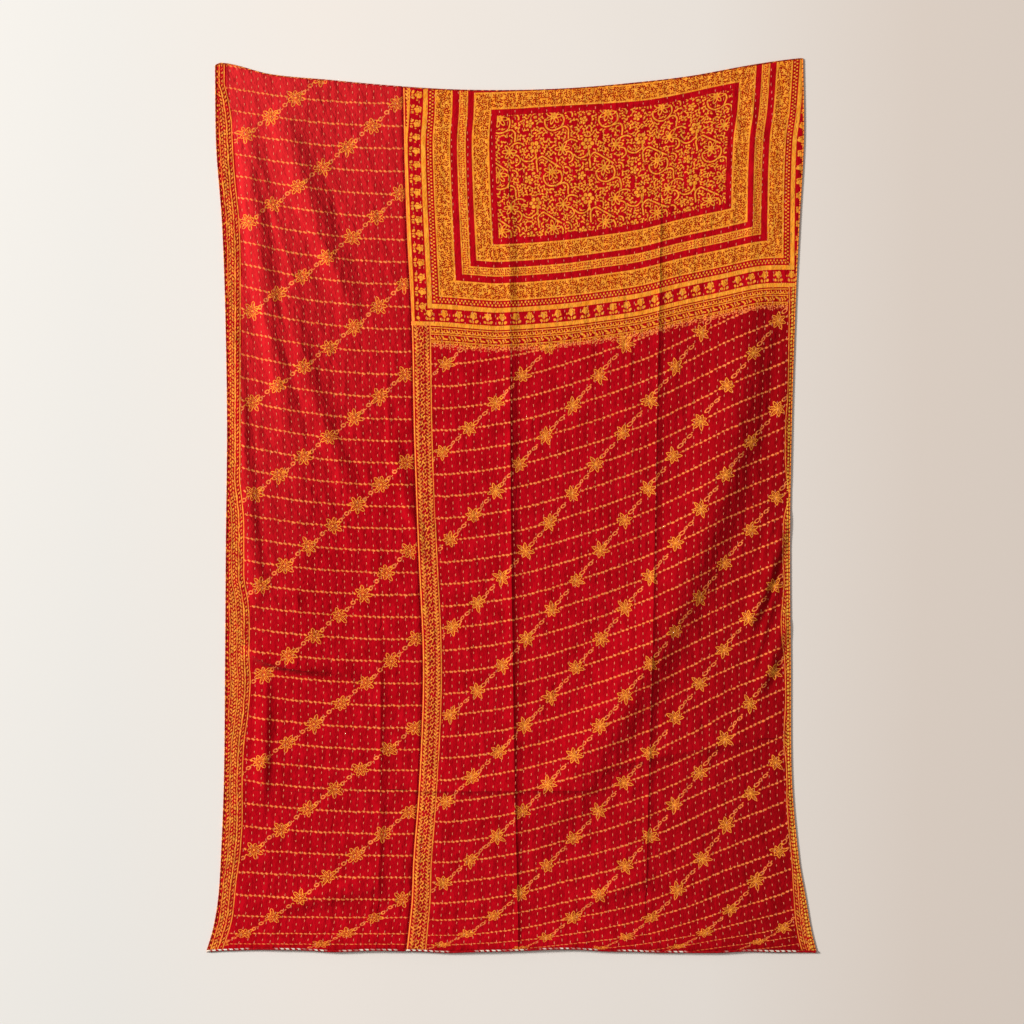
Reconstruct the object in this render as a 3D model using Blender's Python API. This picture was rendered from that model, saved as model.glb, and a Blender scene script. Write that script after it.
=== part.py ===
"""A kantha quilt laid out face up: two printed cloth panels that meet at a lengthwise seam.

Metres, +Z up. The origin is the middle of the quilt's footprint, on the surface it lies on.
+X runs across the quilt to its right edge, +Y along it from the foot hem to the top hem.
Each panel is one solid sheet whose underside lies on the surface, except where a fold lifts
it, and whose upper face puffs up between the lengthwise rows of running stitches.
"""

from collections import namedtuple
from math import cos, hypot, pi

import bmesh
import bpy

LENGTH = 2.300
THICKNESS = 0.003
SEAM_GAP = 0.0003
RIB_RISE = 0.0012
ROW_PITCH = 0.092
FOLD_ROWS = (-1.132, -1.094, -0.740, -0.438, -0.416, -0.384)
CURVE_STEPS = 10

# Where the long edges and the seam lie, at each place along the quilt.
Station = namedtuple("Station", "along left seam right")
STATIONS = (
    Station(-1.150, -0.785, -0.271, 0.785),
    Station(-1.090, -0.767, -0.265, 0.770),
    Station(-1.014, -0.754, -0.258, 0.757),
    Station(-0.911, -0.747, -0.254, 0.739),
    Station(-0.705, -0.739, -0.239, 0.721),
    Station(-0.397, -0.736, -0.229, 0.718),
    Station(-0.089, -0.734, -0.241, 0.716),
    Station(0.220, -0.731, -0.252, 0.721),
    Station(0.528, -0.736, -0.258, 0.731),
    Station(0.734, -0.744, -0.269, 0.741),
    Station(0.939, -0.759, -0.276, 0.752),
    Station(1.150, -0.762, -0.280, 0.750),
)

# How far the top and foot hems lie inside the quilt's full length, at each place across it.
HemPoint = namedtuple("HemPoint", "across top foot")
HEM_POINTS = (
    HemPoint(-0.785, 0.030, 0.001),
    HemPoint(-0.744, 0.012, 0.004),
    HemPoint(-0.620, 0.041, 0.009),
    HemPoint(-0.466, 0.056, 0.004),
    HemPoint(-0.312, 0.070, 0.008),
    HemPoint(-0.158, 0.080, 0.002),
    HemPoint(0.000, 0.082, 0.006),
    HemPoint(0.150, 0.077, 0.009),
    HemPoint(0.305, 0.064, 0.003),
    HemPoint(0.459, 0.046, 0.001),
    HemPoint(0.613, 0.018, 0.005),
    HemPoint(0.700, 0.005, 0.003),
    HemPoint(0.748, 0.000, 0.001),
    HemPoint(0.785, 0.000, 0.000),
)

# Each fold is a raised ridge whose crest curves from its start, towards its bend, to its end.
# Its low side falls away towards -X, or -Y on a fold across the quilt, and its high side to +.
Fold = namedtuple("Fold", "name start bend end rise low_side high_side")
FOLDS = (
    Fold("press_middle", (0.006, 0.790), (0.010, -0.170), (0.006, -1.120), 0.006, 0.026, 0.020),
    Fold("press_right", (0.362, 0.480), (0.370, -0.250), (0.362, -0.980), 0.005, 0.030, 0.024),
    Fold("press_left", (-0.340, -0.400), (-0.336, -0.700), (-0.340, -1.010), 0.005, 0.026, 0.022),
    Fold("pallu_press", (0.618, 1.100), (0.624, 0.820), (0.612, 0.560), 0.004, 0.024, 0.024),
    Fold("strip_roll", (-0.718, 0.520), (-0.690, 0.100), (-0.641, -0.300), 0.009, 0.040, 0.030),
    Fold("corner_long", (-0.685, 1.020), (-0.655, 0.620), (-0.569, 0.160), 0.013, 0.040, 0.048),
    Fold("corner_slant", (-0.620, 1.030), (-0.510, 0.780), (-0.400, 0.460), 0.014, 0.046, 0.060),
    Fold("left_drop", (-0.585, 0.570), (-0.520, 0.260), (-0.400, 0.000), 0.009, 0.034, 0.046),
    Fold("left_inner", (-0.312, 0.200), (-0.280, 0.020), (-0.222, -0.130), 0.007, 0.026, 0.030),
    Fold("pinch", (-0.700, -0.380), (-0.540, -0.402), (-0.385, -0.441), 0.012, 0.026, 0.044),
    Fold("left_low", (-0.634, -0.440), (-0.630, -0.600), (-0.645, -0.780), 0.010, 0.034, 0.028),
    Fold("broad_sag", (0.613, 0.580), (0.640, -0.060), (0.048, -0.890), 0.018, 0.130, 0.090),
    Fold("right_upper", (0.722, -0.010), (0.670, -0.170), (0.603, -0.333), 0.012, 0.036, 0.024),
    Fold("right_lower", (0.718, -0.290), (0.680, -0.390), (0.618, -0.500), 0.010, 0.036, 0.026),
    Fold("right_curl", (0.712, 0.420), (0.702, 0.240), (0.708, 0.040), 0.008, 0.050, 0.020),
    Fold("sag_across", (-0.262, -0.731), (-0.050, -0.718), (0.160, -0.775), 0.014, 0.230, 0.070),
    Fold("crease_across", (0.180, -0.685), (0.390, -0.632), (0.630, -0.597), 0.006, 0.024, 0.034),
    Fold("foot_left", (-0.640, -1.050), (-0.480, -1.000), (-0.320, -0.980), 0.008, 0.030, 0.045),
    Fold("foot_right", (0.170, -1.020), (0.280, -0.990), (0.380, -0.950), 0.006, 0.028, 0.045),
    Fold("foot_roll", (-0.775, -1.136), (0.000, -1.130), (0.775, -1.136), 0.008, 0.040, 0.075),
)

Cloth = namedtuple("Cloth", "name ribs colour roughness")
LEFT_CLOTH = Cloth("left_panel", 26, (0.50, 0.022, 0.020), 0.85)
RIGHT_CLOTH = Cloth("right_panel", 50, (0.47, 0.026, 0.018), 0.85)


def clear_scene():
    for item in list(bpy.data.objects):
        bpy.data.objects.remove(item, do_unlink=True)


def read_table(rows, key, column, place):
    """The column's value at this place, on a smooth curve through the table's rows."""
    keys = [getattr(row, key) for row in rows]
    values = [getattr(row, column) for row in rows]
    last = len(rows) - 1
    after = next((i for i in range(1, last) if place < keys[i]), last)
    before = after - 1

    def slope(i):
        low, high = max(i - 1, 0), min(i + 1, last)
        return (values[high] - values[low]) / (keys[high] - keys[low])

    span = keys[after] - keys[before]
    t = min(max((place - keys[before]) / span, 0.0), 1.0)
    ease = t * t * (3 - 2 * t)
    swing = slope(before) * t * (1 - t) ** 2 - slope(after) * t * t * (1 - t)
    return values[before] + (values[after] - values[before]) * ease + span * swing


def curve_points(fold):
    """Points along the fold's crest, with how far along it each one is, from 0 to 1."""
    points = []
    for i in range(CURVE_STEPS + 1):
        t = i / CURVE_STEPS
        weights = ((1 - t) ** 2, 2 * t * (1 - t), t * t)
        x, y = (
            sum(w * p[axis] for w, p in zip(weights, (fold.start, fold.bend, fold.end)))
            for axis in (0, 1)
        )
        points.append((x, y, t))
    return points


CRESTS = [(fold, curve_points(fold)) for fold in FOLDS]


def nearest_on_crest(x, y, crest):
    """The distance to the crest, how far along it the nearest point is, and if it's on the high side."""
    best = (float("inf"), 0.0, False)
    for (x0, y0, t0), (x1, y1, t1) in zip(crest, crest[1:]):
        dx, dy = x1 - x0, y1 - y0
        s = ((x - x0) * dx + (y - y0) * dy) / (dx * dx + dy * dy)
        s = min(max(s, 0.0), 1.0)
        distance = hypot(x - x0 - s * dx, y - y0 - s * dy)
        on_high_side = dx * (y - y0) > dy * (x - x0)
        best = min(best, (distance, t0 + s * (t1 - t0), on_high_side))
    return best


def lift_at(x, y):
    """How far the folds lift the cloth here: nothing beyond their two sides."""
    total = 0.0
    for fold, crest in CRESTS:
        distance, along, on_high_side = nearest_on_crest(x, y, crest)
        side = fold.high_side if on_high_side else fold.low_side
        if distance >= side:
            continue
        across = 0.5 + 0.5 * cos(pi * distance / side)
        fade = 1 - (2 * along - 1) ** 4
        total += (fold.rise * across * fade) ** 2
    return total**0.5


def row_places():
    """Where the rows of points lie, from foot to top: even, and closer on crosswise folds."""
    count = round(LENGTH / ROW_PITCH)
    even = [(i / count - 0.5) * LENGTH for i in range(count + 1)]
    return sorted([*even, *FOLD_ROWS])


def place_on_quilt(column, along, cloth):
    """X and Y of a point of the panel, from its share of the width and its place along."""
    seam = read_table(STATIONS, "along", "seam", along)
    if cloth is LEFT_CLOTH:
        low = read_table(STATIONS, "along", "left", along)
        high = seam - SEAM_GAP / 2
    else:
        low = seam + SEAM_GAP / 2
        high = read_table(STATIONS, "along", "right", along)
    x = low + column * (high - low)
    top = LENGTH / 2 - read_table(HEM_POINTS, "across", "top", x)
    foot = -LENGTH / 2 + read_table(HEM_POINTS, "across", "foot", x)
    return x, foot + (along / LENGTH + 0.5) * (top - foot)


def make_panel(cloth):
    """One sheet: its underside is a grid on the folds, extruded up to the ribbed face."""
    mesh = bpy.data.meshes.new(cloth.name)
    panel = bpy.data.objects.new(cloth.name, mesh)
    bpy.context.collection.objects.link(panel)
    columns = 2 * cloth.ribs
    places = row_places()
    rows = len(places) - 1
    sheet = bmesh.new()
    bmesh.ops.create_grid(sheet, x_segments=columns, y_segments=rows, size=0.5)
    thickness = sheet.verts.layers.float.new("thickness")
    for vertex in sheet.verts:
        column = round((vertex.co.x + 0.5) * columns)
        row = round((vertex.co.y + 0.5) * rows)
        x, y = place_on_quilt(column / columns, places[row], cloth)
        vertex.co = (x, y, lift_at(x, y))
        on_crest = column % 2 == 1
        vertex[thickness] = THICKNESS + RIB_RISE * on_crest
    upper = bmesh.ops.extrude_face_region(sheet, geom=sheet.faces[:])
    for vertex in upper["geom"]:
        if isinstance(vertex, bmesh.types.BMVert):
            vertex.co.z += vertex[thickness]
    bmesh.ops.recalc_face_normals(sheet, faces=sheet.faces[:])
    sheet.to_mesh(mesh)
    sheet.free()
    mesh.materials.append(cloth_material(cloth))
    return panel


def cloth_material(cloth):
    material = bpy.data.materials.new(cloth.name + "_print")
    material.use_nodes = True
    shader = material.node_tree.nodes["Principled BSDF"]
    shader.inputs["Base Color"].default_value = (*cloth.colour, 1.0)
    shader.inputs["Roughness"].default_value = cloth.roughness
    shader.inputs["Metallic"].default_value = 0.0
    return material


clear_scene()
make_panel(LEFT_CLOTH)
make_panel(RIGHT_CLOTH)
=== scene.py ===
"""The looks of a kantha quilt laid out face up: printed cloth, running stitches, hems and light.

Metres, +Z up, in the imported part's own frame. +X runs across the quilt to its right edge and
+Y along it to its top hem. Sizes within the print are in millimetres on the cloth.
"""

from collections import namedtuple
from math import atan2, cos, hypot, pi, radians

import bmesh
import bpy
import numpy as np
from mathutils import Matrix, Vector


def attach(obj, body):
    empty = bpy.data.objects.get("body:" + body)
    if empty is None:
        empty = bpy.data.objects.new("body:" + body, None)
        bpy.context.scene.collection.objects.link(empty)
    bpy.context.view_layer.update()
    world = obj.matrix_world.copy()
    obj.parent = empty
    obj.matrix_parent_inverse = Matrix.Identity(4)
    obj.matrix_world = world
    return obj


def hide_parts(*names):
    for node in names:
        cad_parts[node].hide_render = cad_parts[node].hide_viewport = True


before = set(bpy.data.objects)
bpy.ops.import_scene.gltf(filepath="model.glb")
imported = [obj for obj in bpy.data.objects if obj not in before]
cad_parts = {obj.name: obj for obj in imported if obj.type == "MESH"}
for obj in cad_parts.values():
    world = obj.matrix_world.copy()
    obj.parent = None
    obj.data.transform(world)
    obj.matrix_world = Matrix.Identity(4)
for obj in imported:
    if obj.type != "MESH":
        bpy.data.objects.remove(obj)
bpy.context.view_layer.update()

# ---------------------------------------------------------------- the quilt's shape, in metres

LENGTH = 2.300
THICKNESS = 0.003
SEAM_GAP = 0.0003
RIB_RISE = 0.0012
CURVE_STEPS = 10

# Where the long edges and the seam lie, at each place along the quilt.
Station = namedtuple("Station", "along left seam right")
STATIONS = (
    Station(-1.150, -0.785, -0.271, 0.785),
    Station(-1.090, -0.767, -0.265, 0.770),
    Station(-1.014, -0.754, -0.258, 0.757),
    Station(-0.911, -0.747, -0.254, 0.739),
    Station(-0.705, -0.739, -0.239, 0.721),
    Station(-0.397, -0.736, -0.229, 0.718),
    Station(-0.089, -0.734, -0.241, 0.716),
    Station(0.220, -0.731, -0.252, 0.721),
    Station(0.528, -0.736, -0.258, 0.731),
    Station(0.734, -0.744, -0.269, 0.741),
    Station(0.939, -0.759, -0.276, 0.752),
    Station(1.150, -0.762, -0.280, 0.750),
)

# How far the top and foot hems lie inside the quilt's full length, at each place across it.
HemPoint = namedtuple("HemPoint", "across top foot")
HEM_POINTS = (
    HemPoint(-0.785, 0.030, 0.001),
    HemPoint(-0.744, 0.012, 0.004),
    HemPoint(-0.620, 0.041, 0.009),
    HemPoint(-0.466, 0.056, 0.004),
    HemPoint(-0.312, 0.070, 0.008),
    HemPoint(-0.158, 0.080, 0.002),
    HemPoint(0.000, 0.082, 0.006),
    HemPoint(0.150, 0.077, 0.009),
    HemPoint(0.305, 0.064, 0.003),
    HemPoint(0.459, 0.046, 0.001),
    HemPoint(0.613, 0.018, 0.005),
    HemPoint(0.700, 0.005, 0.003),
    HemPoint(0.748, 0.000, 0.001),
    HemPoint(0.785, 0.000, 0.000),
)

# Each fold is a raised ridge whose crest curves from its start, towards its bend, to its end.
# Its low side falls away towards -X, or -Y on a fold across the quilt, and its high side to +.
Fold = namedtuple("Fold", "name start bend end rise low_side high_side")
FOLDS = (
    Fold("strip_roll", (-0.718, 0.520), (-0.690, 0.100), (-0.641, -0.300), 0.009, 0.040, 0.030),
    Fold("corner_long", (-0.685, 1.020), (-0.655, 0.620), (-0.569, 0.160), 0.013, 0.040, 0.048),
    Fold("corner_slant", (-0.620, 1.030), (-0.510, 0.780), (-0.400, 0.460), 0.014, 0.046, 0.060),
    Fold("left_drop", (-0.585, 0.570), (-0.520, 0.260), (-0.400, 0.000), 0.009, 0.034, 0.046),
    Fold("left_inner", (-0.312, 0.200), (-0.280, 0.020), (-0.222, -0.130), 0.007, 0.026, 0.030),
    Fold("pinch", (-0.700, -0.380), (-0.540, -0.402), (-0.385, -0.441), 0.012, 0.026, 0.044),
    Fold("left_low", (-0.634, -0.440), (-0.630, -0.600), (-0.645, -0.780), 0.010, 0.034, 0.028),
    Fold("broad_sag", (0.613, 0.580), (0.640, -0.060), (0.048, -0.890), 0.0205, 0.130, 0.090),
    Fold("right_upper", (0.722, -0.010), (0.670, -0.170), (0.603, -0.333), 0.012, 0.036, 0.024),
    Fold("right_lower", (0.718, -0.290), (0.680, -0.390), (0.618, -0.500), 0.010, 0.036, 0.026),
    Fold("right_curl", (0.712, 0.420), (0.702, 0.240), (0.708, 0.040), 0.008, 0.050, 0.020),
    Fold("sag_across", (-0.262, -0.731), (-0.050, -0.718), (0.160, -0.775), 0.014, 0.230, 0.070),
    Fold("foot_left", (-0.640, -1.050), (-0.480, -1.000), (-0.320, -0.980), 0.008, 0.030, 0.045),
    Fold("foot_right", (0.170, -1.020), (0.280, -0.990), (0.380, -0.950), 0.006, 0.028, 0.045),
    Fold("foot_roll", (-0.775, -1.136), (0.000, -1.130), (0.775, -1.136), 0.008, 0.040, 0.075),
)

# A crease is the same with a sharp crest: lines that the cloth kept from being folded and
# pressed, and the small pulls that run from its corners and pinches.
CREASES = (
    Fold("press_middle", (-0.004, 0.790), (-0.006, -0.200), (0.018, -1.120), 0.0050, 0.028, 0.026),
    Fold("press_right", (0.384, 0.770), (0.372, -0.050), (0.346, -0.980), 0.0032, 0.022, 0.020),
    Fold("press_left", (-0.338, -0.330), (-0.334, -0.640), (-0.342, -1.010), 0.0036, 0.022, 0.022),
    Fold("pallu_press", (0.618, 1.100), (0.624, 0.820), (0.612, 0.560), 0.0040, 0.022, 0.026),
    Fold("crease_across", (0.180, -0.690), (0.390, -0.640), (0.630, -0.604), 0.0060, 0.020, 0.034),
    Fold("fold_across", (-0.260, -0.734), (0.022, -0.732), (0.253, -0.732), 0.0040, 0.012, 0.022),
    Fold("pinch_lip", (-0.677, -0.366), (-0.650, -0.424), (-0.470, -0.428), 0.0110, 0.010, 0.034),
    Fold("corner_pull", (-0.703, 0.960), (-0.680, 0.734), (-0.652, 0.451), 0.0040, 0.014, 0.018),
    Fold("slant_pull", (-0.641, 0.978), (-0.582, 0.837), (-0.487, 0.626), 0.0040, 0.016, 0.020),
    Fold("slant_low", (-0.659, 0.914), (-0.608, 0.734), (-0.544, 0.528), 0.0036, 0.014, 0.018),
    Fold("drop_pull", (-0.616, 0.554), (-0.564, 0.374), (-0.497, 0.143), 0.0036, 0.014, 0.018),
    Fold("drop_outer", (-0.657, 0.657), (-0.631, 0.451), (-0.595, 0.220), 0.0030, 0.012, 0.016),
    Fold("slant_short", (-0.544, 0.772), (-0.497, 0.682), (-0.410, 0.528), 0.0030, 0.014, 0.018),
    Fold("inner_line", (-0.322, 0.371), (-0.322, 0.271), (-0.312, 0.143), 0.0030, 0.012, 0.014),
    Fold("upper_line", (0.303, 0.436), (0.305, 0.348), (0.302, 0.271), 0.0030, 0.012, 0.014),
    Fold("middle_arc", (0.150, -0.487), (0.202, -0.500), (0.253, -0.466), 0.0030, 0.010, 0.014),
    Fold("foot_pull", (-0.528, -1.011), (-0.428, -0.978), (-0.335, -0.944), 0.0040, 0.012, 0.020),
    Fold("right_pull", (0.688, 0.014), (0.659, -0.102), (0.608, -0.243), 0.0050, 0.014, 0.018),
    Fold("right_drop", (0.700, -0.140), (0.664, -0.294), (0.600, -0.474), 0.0050, 0.014, 0.018),
    Fold("middle_line", (-0.107, -0.089), (-0.117, -0.243), (-0.112, -0.448), 0.0020, 0.012, 0.012),
    Fold("left_line", (-0.470, -0.450), (-0.462, -0.600), (-0.474, -0.820), 0.0024, 0.012, 0.014),
    Fold("low_line", (0.180, -0.560), (0.186, -0.700), (0.176, -0.900), 0.0020, 0.012, 0.012),
)

Cloth = namedtuple("Cloth", "name ribs flat_width")
LEFT_CLOTH = Cloth("left_cloth", 26, 0.505)
RIGHT_CLOTH = Cloth("right_cloth", 50, 0.990)
COLUMNS_PER_RIB = 4
CLOTH_ROWS = 240
STITCH_PITCH = LENGTH / 120

# The folds die down by this share over this many ribs at the quilt's outer edge.
FLATTER_AT_EDGE, EDGE_RIBS = 0.75, 2.4

# How the cloth puffs between its stitches, as shares of the ribs' rise, and in metres.
CREST_ROUNDNESS, PUFF_MEAN, PUFF_SWING = 0.8, 0.42, 0.50
WRINKLE_HIGH, STITCH_DIP, STITCH_SWELL = 0.0007, 0.0004, 0.0003
EDGE_THINNER, HEM_THINNER, THINNEST = 0.0014, 0.0010, 0.0012


def read_table(rows, key, column, places):
    """The column's values at these places, on a smooth curve through the table's rows."""
    keys = np.array([getattr(row, key) for row in rows])
    values = np.array([getattr(row, column) for row in rows])
    return read_curve(keys, values, places)


def read_curve(keys, values, places):
    """Values at these places on a smooth curve through the values at the keys."""
    keys, values = np.asarray(keys, float), np.asarray(values, float)
    last = len(keys) - 1
    lows = np.maximum(np.arange(last + 1) - 1, 0)
    highs = np.minimum(np.arange(last + 1) + 1, last)
    slopes = (values[highs] - values[lows]) / (keys[highs] - keys[lows])
    after = np.clip(np.searchsorted(keys, places, side="right"), 1, last)
    before = after - 1
    span = keys[after] - keys[before]
    t = np.clip((places - keys[before]) / span, 0.0, 1.0)
    ease = t * t * (3 - 2 * t)
    swing = slopes[before] * t * (1 - t) ** 2 - slopes[after] * t * t * (1 - t)
    return values[before] + (values[after] - values[before]) * ease + span * swing


def lift_from(x, y):
    """How far the folds and the creases on them lift the cloth at each point."""
    total = np.zeros_like(x)
    for fold in FOLDS:
        nearness, fade = nearness_to(fold, x, y)
        total += (fold.rise * (0.5 - 0.5 * np.cos(pi * nearness)) * fade) ** 2
    total = np.sqrt(total)
    for crease in CREASES:
        nearness, fade = nearness_to(crease, x, y)
        total += crease.rise * nearness**2 * fade
    return total


def crest_distance(fold, x, y):
    """Metres from a fold's crest, how far along it that is, and if it's on the high side."""
    steps = np.linspace(0, 1, CURVE_STEPS + 1)[:, None]
    start, bend, end = (np.array(p) for p in (fold.start, fold.bend, fold.end))
    crest = (1 - steps) ** 2 * start + 2 * steps * (1 - steps) * bend + steps**2 * end
    nearest = np.full(x.shape, np.inf)
    along = np.zeros_like(x)
    high = np.zeros(x.shape, bool)
    for i in range(CURVE_STEPS):
        (x0, y0), (dx, dy) = crest[i], crest[i + 1] - crest[i]
        s = np.clip(((x - x0) * dx + (y - y0) * dy) / (dx * dx + dy * dy), 0, 1)
        distance = np.hypot(x - x0 - s * dx, y - y0 - s * dy)
        closer = distance < nearest
        nearest = np.where(closer, distance, nearest)
        along = np.where(closer, (i + s) / CURVE_STEPS, along)
        high = np.where(closer, dx * (y - y0) > dy * (x - x0), high)
    return nearest, along, high


def nearness_to(fold, x, y):
    """From 0 beyond a fold's sides to 1 on its crest, and how it fades towards its ends."""
    nearest, along, high = crest_distance(fold, x, y)
    side = np.where(high, fold.high_side, fold.low_side)
    return 1 - np.minimum(nearest / side, 1), 1 - (2 * along - 1) ** 4


def place_on_quilt(cloth, share, along):
    """X and Y of points of the cloth, from their share of its width and their place along."""
    seam = read_table(STATIONS, "along", "seam", along)
    if cloth is LEFT_CLOTH:
        low = read_table(STATIONS, "along", "left", along)
        high = seam - SEAM_GAP / 2
    else:
        low = seam + SEAM_GAP / 2
        high = read_table(STATIONS, "along", "right", along)
    x = low + share * (high - low)
    top = LENGTH / 2 - read_table(HEM_POINTS, "across", "top", x)
    foot = -LENGTH / 2 + read_table(HEM_POINTS, "across", "foot", x)
    return x, foot + (along / LENGTH + 0.5) * (top - foot)


def waves(x, y, seed, longest, shortest, count=14):
    """Soft, uneven waves, mostly between -1 and 1, the same on every run."""
    luck = np.random.default_rng(seed)
    total = np.zeros_like(x)
    for _ in range(count):
        length = luck.uniform(shortest, longest)
        turn, start = luck.uniform(0, pi), luck.uniform(0, 2 * pi)
        total += np.sin((x * np.cos(turn) + y * np.sin(turn)) * 2 * pi / length + start)
    return total / np.sqrt(count * 2)


def cloth_points(cloth, rib, along):
    """X, Y, the folds' lift and the puffed thickness, for points by rib number and place."""
    x, y = place_on_quilt(cloth, rib / cloth.ribs, along)
    edge = np.minimum(rib, cloth.ribs - rib)
    outer = rib if cloth is LEFT_CLOTH else cloth.ribs - rib
    kept = 1 - FLATTER_AT_EDGE + FLATTER_AT_EDGE * np.clip(outer / EDGE_RIBS, 0, 1)
    lift = lift_from(x, y) * kept
    crest = np.abs(np.sin(pi * rib)) ** CREST_ROUNDNESS
    stitch = along / STITCH_PITCH
    pull = 0.5 + 0.5 * np.cos(2 * pi * stitch) * np.cos(pi * rib)
    puff = PUFF_MEAN + PUFF_SWING * waves(x, y, 5, 0.110, 0.030)
    thickness = THICKNESS + RIB_RISE * crest * puff
    thickness += WRINKLE_HIGH * waves(x, y * 0.45, 8, 0.060, 0.022)
    thickness -= STITCH_DIP * pull * (1 - crest)
    thickness += STITCH_SWELL * crest * np.sin(2 * pi * stitch) * np.cos(pi * rib)
    thickness -= EDGE_THINNER * np.clip(1 - edge / 0.5, 0, 1)
    return x, y, lift, np.maximum(thickness, THINNEST)


# ---------------------------------------------------------------- where the print lies

# The print's places were measured on a flat picture of the quilt, in units of 2.57 mm, from
# its upper left, and each table below gives where a line of the print runs across the cloth.
UNIT = 0.00257
UNIT_MM = 2.57
MIDDLE_ACROSS, MIDDLE_DOWN = 511.5, 505.5

LEFT_SWING_AT = (97, 141, 231, 342, 454, 520, 609, 765, 851, 898, 940)
LEFT_SWING = (12, 13, 18, 18, 16, 13, 11, 11, 6, 4, 0)
LEFT_DROP_AT = (97, 300, 400, 500, 600, 700, 750, 790, 940)
LEFT_DROP = (1, 1, 3, 3, 3.5, 3, 2.5, 0, 0)
LEFT_SHIFT_AT = (97, 200, 250, 330, 460, 520, 560, 600, 650, 700, 740, 770, 810, 850, 880, 915, 935)
LEFT_SHIFT = (0, 3, 6, 8, 8.5, 12, 14, 18, 19.5, 20, 18, 15, 13, 10, 8, 4, 1)
FOOT_PRINTED = (0, 905, 920, 942.5, 964.7, 990, 1010)
FOOT_LIES = (0, 905, 917, 934, 944, 953, 960)
RIGHT_ROWS = (-2, 0, 14, 20, 25, 30, 36)
RIGHT_ROWS_DOWN = (320, 364, 672, 801, 903, 1008, 1134)
RIGHT_RISE_AT = (430, 450, 490, 530, 570, 610, 650, 690, 730, 770, 800, 830)
RIGHT_RISE = (0, 0, -4.5, -12, -23.5, -36.5, -51.5, -70, -89.5, -106, -119, -132)
PALLU_SKEW_AT = (400, 440, 480, 500, 560, 600, 640, 680, 722, 760, 795, 830)
PALLU_FOOT_SKEW = (-5, -4, -1, 0, -4, -9, -15, -25, -34, -42, -43, -43)
PALLU_TOP_SKEW_AT = (400, 500, 560, 640, 680, 722, 800)
PALLU_TOP_SKEW = (2, 0, -3.5, -8.5, -15, -24, -38)
PALLU_LEFT_AT = (60, 110, 140, 185, 230, 260, 290, 320, 360)
PALLU_LEFT = (498, 497.5, 495.5, 496.5, 498.5, 500, 501.5, 502.5, 504)
PALLU_RIGHT_AT = (60, 110, 140, 200, 320)
PALLU_RIGHT = (735, 731.5, 727.6, 725.6, 725)
PALLU_WIDE, PALLU_TALL = 233.0, 122.5
PALLU_FOOT_DOWN, PALLU_TOP_DOWN = 238.0, 115.5
PALLU_RIGHT_SCALE = 0.93
PANEL_WIDE_MM, PANEL_TALL_MM = PALLU_WIDE * UNIT_MM, PALLU_TALL * UNIT_MM
CHAIN_SHIFT = 25.4
RIGHT_DROP_AT = (690, 710, 735, 760, 800, 830, 850, 870, 925, 945, 955)
RIGHT_DROP = (0, 1, 6, 9, 11, 14, 17, 18, 18, 12, 8)
RIGHT_SHIFT_AT = (320, 400, 460, 490, 515, 580, 670, 700, 780, 836, 885, 940)
RIGHT_SHIFT_NEAR = (-4, -5.5, -8, -6, -2.5, 1.5, 2, 1, -3.5, -4, -6.5, -8)
RIGHT_SHIFT_FAR = (-2, -2, -4, -4, -3.5, -6, -6.5, -5, -4, -2, 2, 4)
MID_STRIP_AT = (330, 480, 540, 580, 640, 700, 760, 860, 940)
MID_STRIP_WIDE = (50.5, 51, 52.5, 53.5, 53.5, 53, 52, 50, 49)

# The left rows: the first one's place, their pitch, and where and how much they bow.
LEFT_FIRST_ROW, LEFT_ROW_PITCH = 97, 22.25
BOW_FROM, BOW_OVER, BOW_LEVEL = 250, 150, 0.556

# Where the flower chains start, and the stretches over which the right cloth's print shifts.
LEFT_CHAIN_START, RIGHT_CHAIN_START, RIGHT_CHAINS_PAST = 397.0, 450, 16
DROP_FROM, DROP_OVER = 560, 230
SHIFT_FROM, SHIFT_OVER = 480, 280

# The line that a border ends with, inside the quilt, and the quilt's edge beside it.
LEFT_LINE_DOWN = (
    84, 100, 120, 140, 160, 180, 200, 220, 240, 260, 460, 480, 500, 520, 560, 580, 600, 620, 660,
    680, 700, 720, 740, 760, 780, 820, 840, 860, 880, 900, 920, 940, 953,
)
LEFT_LINE = (
    224, 228, 231, 232, 233, 234.5, 236.7, 238.7, 239.5, 240, 240, 239.7, 242, 243.7, 243.7, 244,
    247.5, 249, 249, 250, 249, 247, 244, 242.7, 242, 242, 240.8, 239, 236, 234, 231.5, 225.7, 221,
)
RIGHT_LINE_DOWN = (
    300, 340, 380, 400, 420, 440, 460, 480, 495, 520, 560, 580, 600, 620, 640, 660, 700, 740, 760,
    780, 800, 820, 840, 860, 880, 900, 920, 940, 953,
)
RIGHT_LINE = (
    789.7, 789, 788.3, 787.5, 785.8, 785.3, 785.3, 787, 789.3, 783.8, 783, 784.3, 783, 781.3, 782,
    784.7, 785.7, 784, 786, 787, 787, 788.3, 790, 792, 793.2, 794.3, 796, 799.3, 803,
)


def measured_at(x, y):
    """A place on the quilt, across and down from the upper left of the measured picture."""
    return x / UNIT + MIDDLE_ACROSS, MIDDLE_DOWN - y / UNIT


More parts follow.
